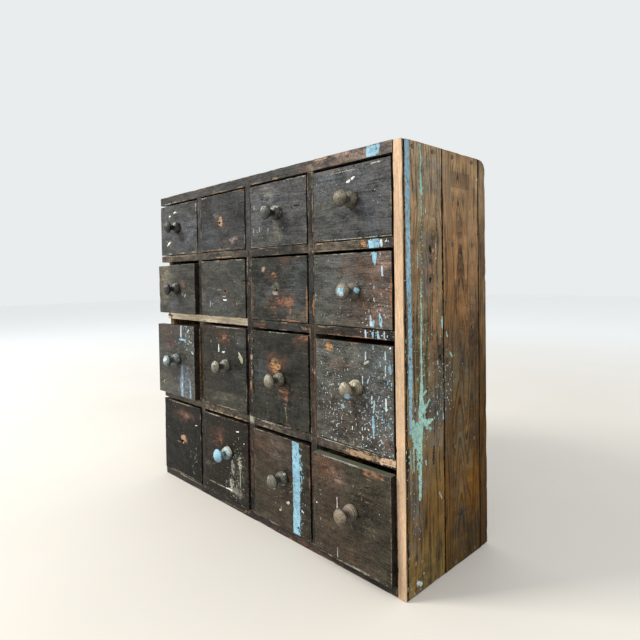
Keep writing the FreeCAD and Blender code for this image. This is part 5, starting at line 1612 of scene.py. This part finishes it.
def back():
    low, high = corners("back_boards")
    parts, left = [], low[0]
    for width in BACK_PLANKS:
        parts.append(((left, low[1], low[2]), (left + width, high[1], high[2])))
        left += width
    look = {"along": 2, "face": (1, 1), "fade": BACK_TONES_AND_LIGHT, "patches": [
                ("char", -220, 90, 60, 60, 0.5), ("tan", -90, 420, 30, 90, 0.4),
                ("char", 150, 60, 70, 40, 0.5), ("tan", 210, 300, 20, 90, 0.35)],
            "knots": [(400, -250, 9.0), (210, -120, 8.0), (470, 10, 7.0), (130, 120, 10.0),
                      (350, 240, 8.0)],
            "wear": 0.9, "relief": 0.6, "edge": ("soot", 0.9), "soft": 1.0, "speck": 0.05,
            "rear_round": BACK_ROUND}
    piece = boards("back_planks", CARCASS, SIDE, parts, look, BACK_SEED, BACK_GRID)
    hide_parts("back_boards")


shelves()
dividers()
outer_frame()
frame_paint()
side_boards()
left_side()
back()
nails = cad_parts["carcass_nails"]
nails.data.materials.clear()
nails.data.materials.append(SUNK_IRON)


# ---------------------------------------------------------------- stage, light and camera
def make_floor():
    """A plain pale floor, a little warmer and darker near the drawers than far off."""
    mesh = bpy.data.meshes.new("floor")
    reach = 9.0
    mesh.from_pydata([(-reach, -reach, 0), (reach, -reach, 0), (reach, reach, 0),
                      (-reach, reach, 0)], [], [(0, 1, 2, 3)])
    n = Nodes("floor")
    place = n("TexCoord", 3)
    cloud = n.noise(place, 1.3, 4.0)
    distance = n("VectorMath", 1, {"operation": "LENGTH"}, i0=place)
    near = n.mix(n.ramp(cloud, 0.3, 0.7), (0.74, 0.70, 0.64, 1.0), (0.70, 0.66, 0.60, 1.0))
    far = (0.94, 0.95, 0.95, 1.0)
    n.plug(n.shader, "Base Color", n.mix(n.ramp(distance, 0.7, 3.4), near, far))
    n.shader.inputs["Roughness"].default_value = 0.7
    mesh.materials.append(n.material)
    floor = bpy.data.objects.new("floor", mesh)
    bpy.context.scene.collection.objects.link(floor)


def soft_light(name, place, target, size, power, colour=(1.0, 1.0, 1.0)):
    light = bpy.data.lights.new(name, "AREA")
    light.shape = "RECTANGLE"
    light.size, light.size_y = size
    light.energy = power
    light.color = colour
    lamp = bpy.data.objects.new(name, light)
    lamp.location = place
    lamp.rotation_mode = "QUATERNION"
    lamp.rotation_quaternion = (Vector(target) - Vector(place)).to_track_quat("-Z", "Y")
    bpy.context.scene.collection.objects.link(lamp)


def make_world(colour, strength):
    world = bpy.data.worlds.new("studio")
    world.use_nodes = True
    backdrop = world.node_tree.nodes["Background"]
    backdrop.inputs["Color"].default_value = (*colour, 1.0)
    backdrop.inputs["Strength"].default_value = strength
    bpy.context.scene.world = world


def make_camera(place, yaw, pitch, roll, lens, shift):
    """A camera turned yaw to the left of +Y, tipped up by pitch and rolled, in degrees."""
    yaw, pitch, roll = (math.radians(a) for a in (yaw, pitch, roll))
    forward = Vector((-math.sin(yaw) * math.cos(pitch), math.cos(yaw) * math.cos(pitch),
                      math.sin(pitch)))
    level = Vector((math.cos(yaw), math.sin(yaw), 0.0))
    upright = level.cross(forward)
    right = level * math.cos(roll) + upright * math.sin(roll)
    up = upright * math.cos(roll) - level * math.sin(roll)
    data = bpy.data.cameras.new("camera")
    data.sensor_width, data.lens = 36.0, lens
    data.shift_x, data.shift_y = shift
    data.clip_start, data.clip_end = 0.02, 60.0
    camera = bpy.data.objects.new("camera", data)
    turn = Matrix((right, up, -forward)).transposed().to_4x4()
    camera.matrix_world = Matrix.Translation(place) @ turn
    bpy.context.scene.collection.objects.link(camera)
    bpy.context.scene.camera = camera


make_floor()
make_world(colour=(0.93, 0.96, 0.97), strength=0.88)
soft_light("window", place=(-1.5, -2.0, 2.3), target=(0.0, 0.0, 0.3), size=(1.0, 1.0),
           power=84.0, colour=(1.0, 0.97, 0.93))
soft_light("fill", place=(2.4, -0.6, 1.6), target=(0.2, 0.0, 0.3), size=(1.8, 1.8), power=14.0)
make_camera(place=(0.666, -0.597, 0.395), yaw=46.46, pitch=-1.45, roll=-0.93, lens=28.77,
            shift=(0.012, -0.046))
bpy.context.scene.view_settings.view_transform = "Standard"
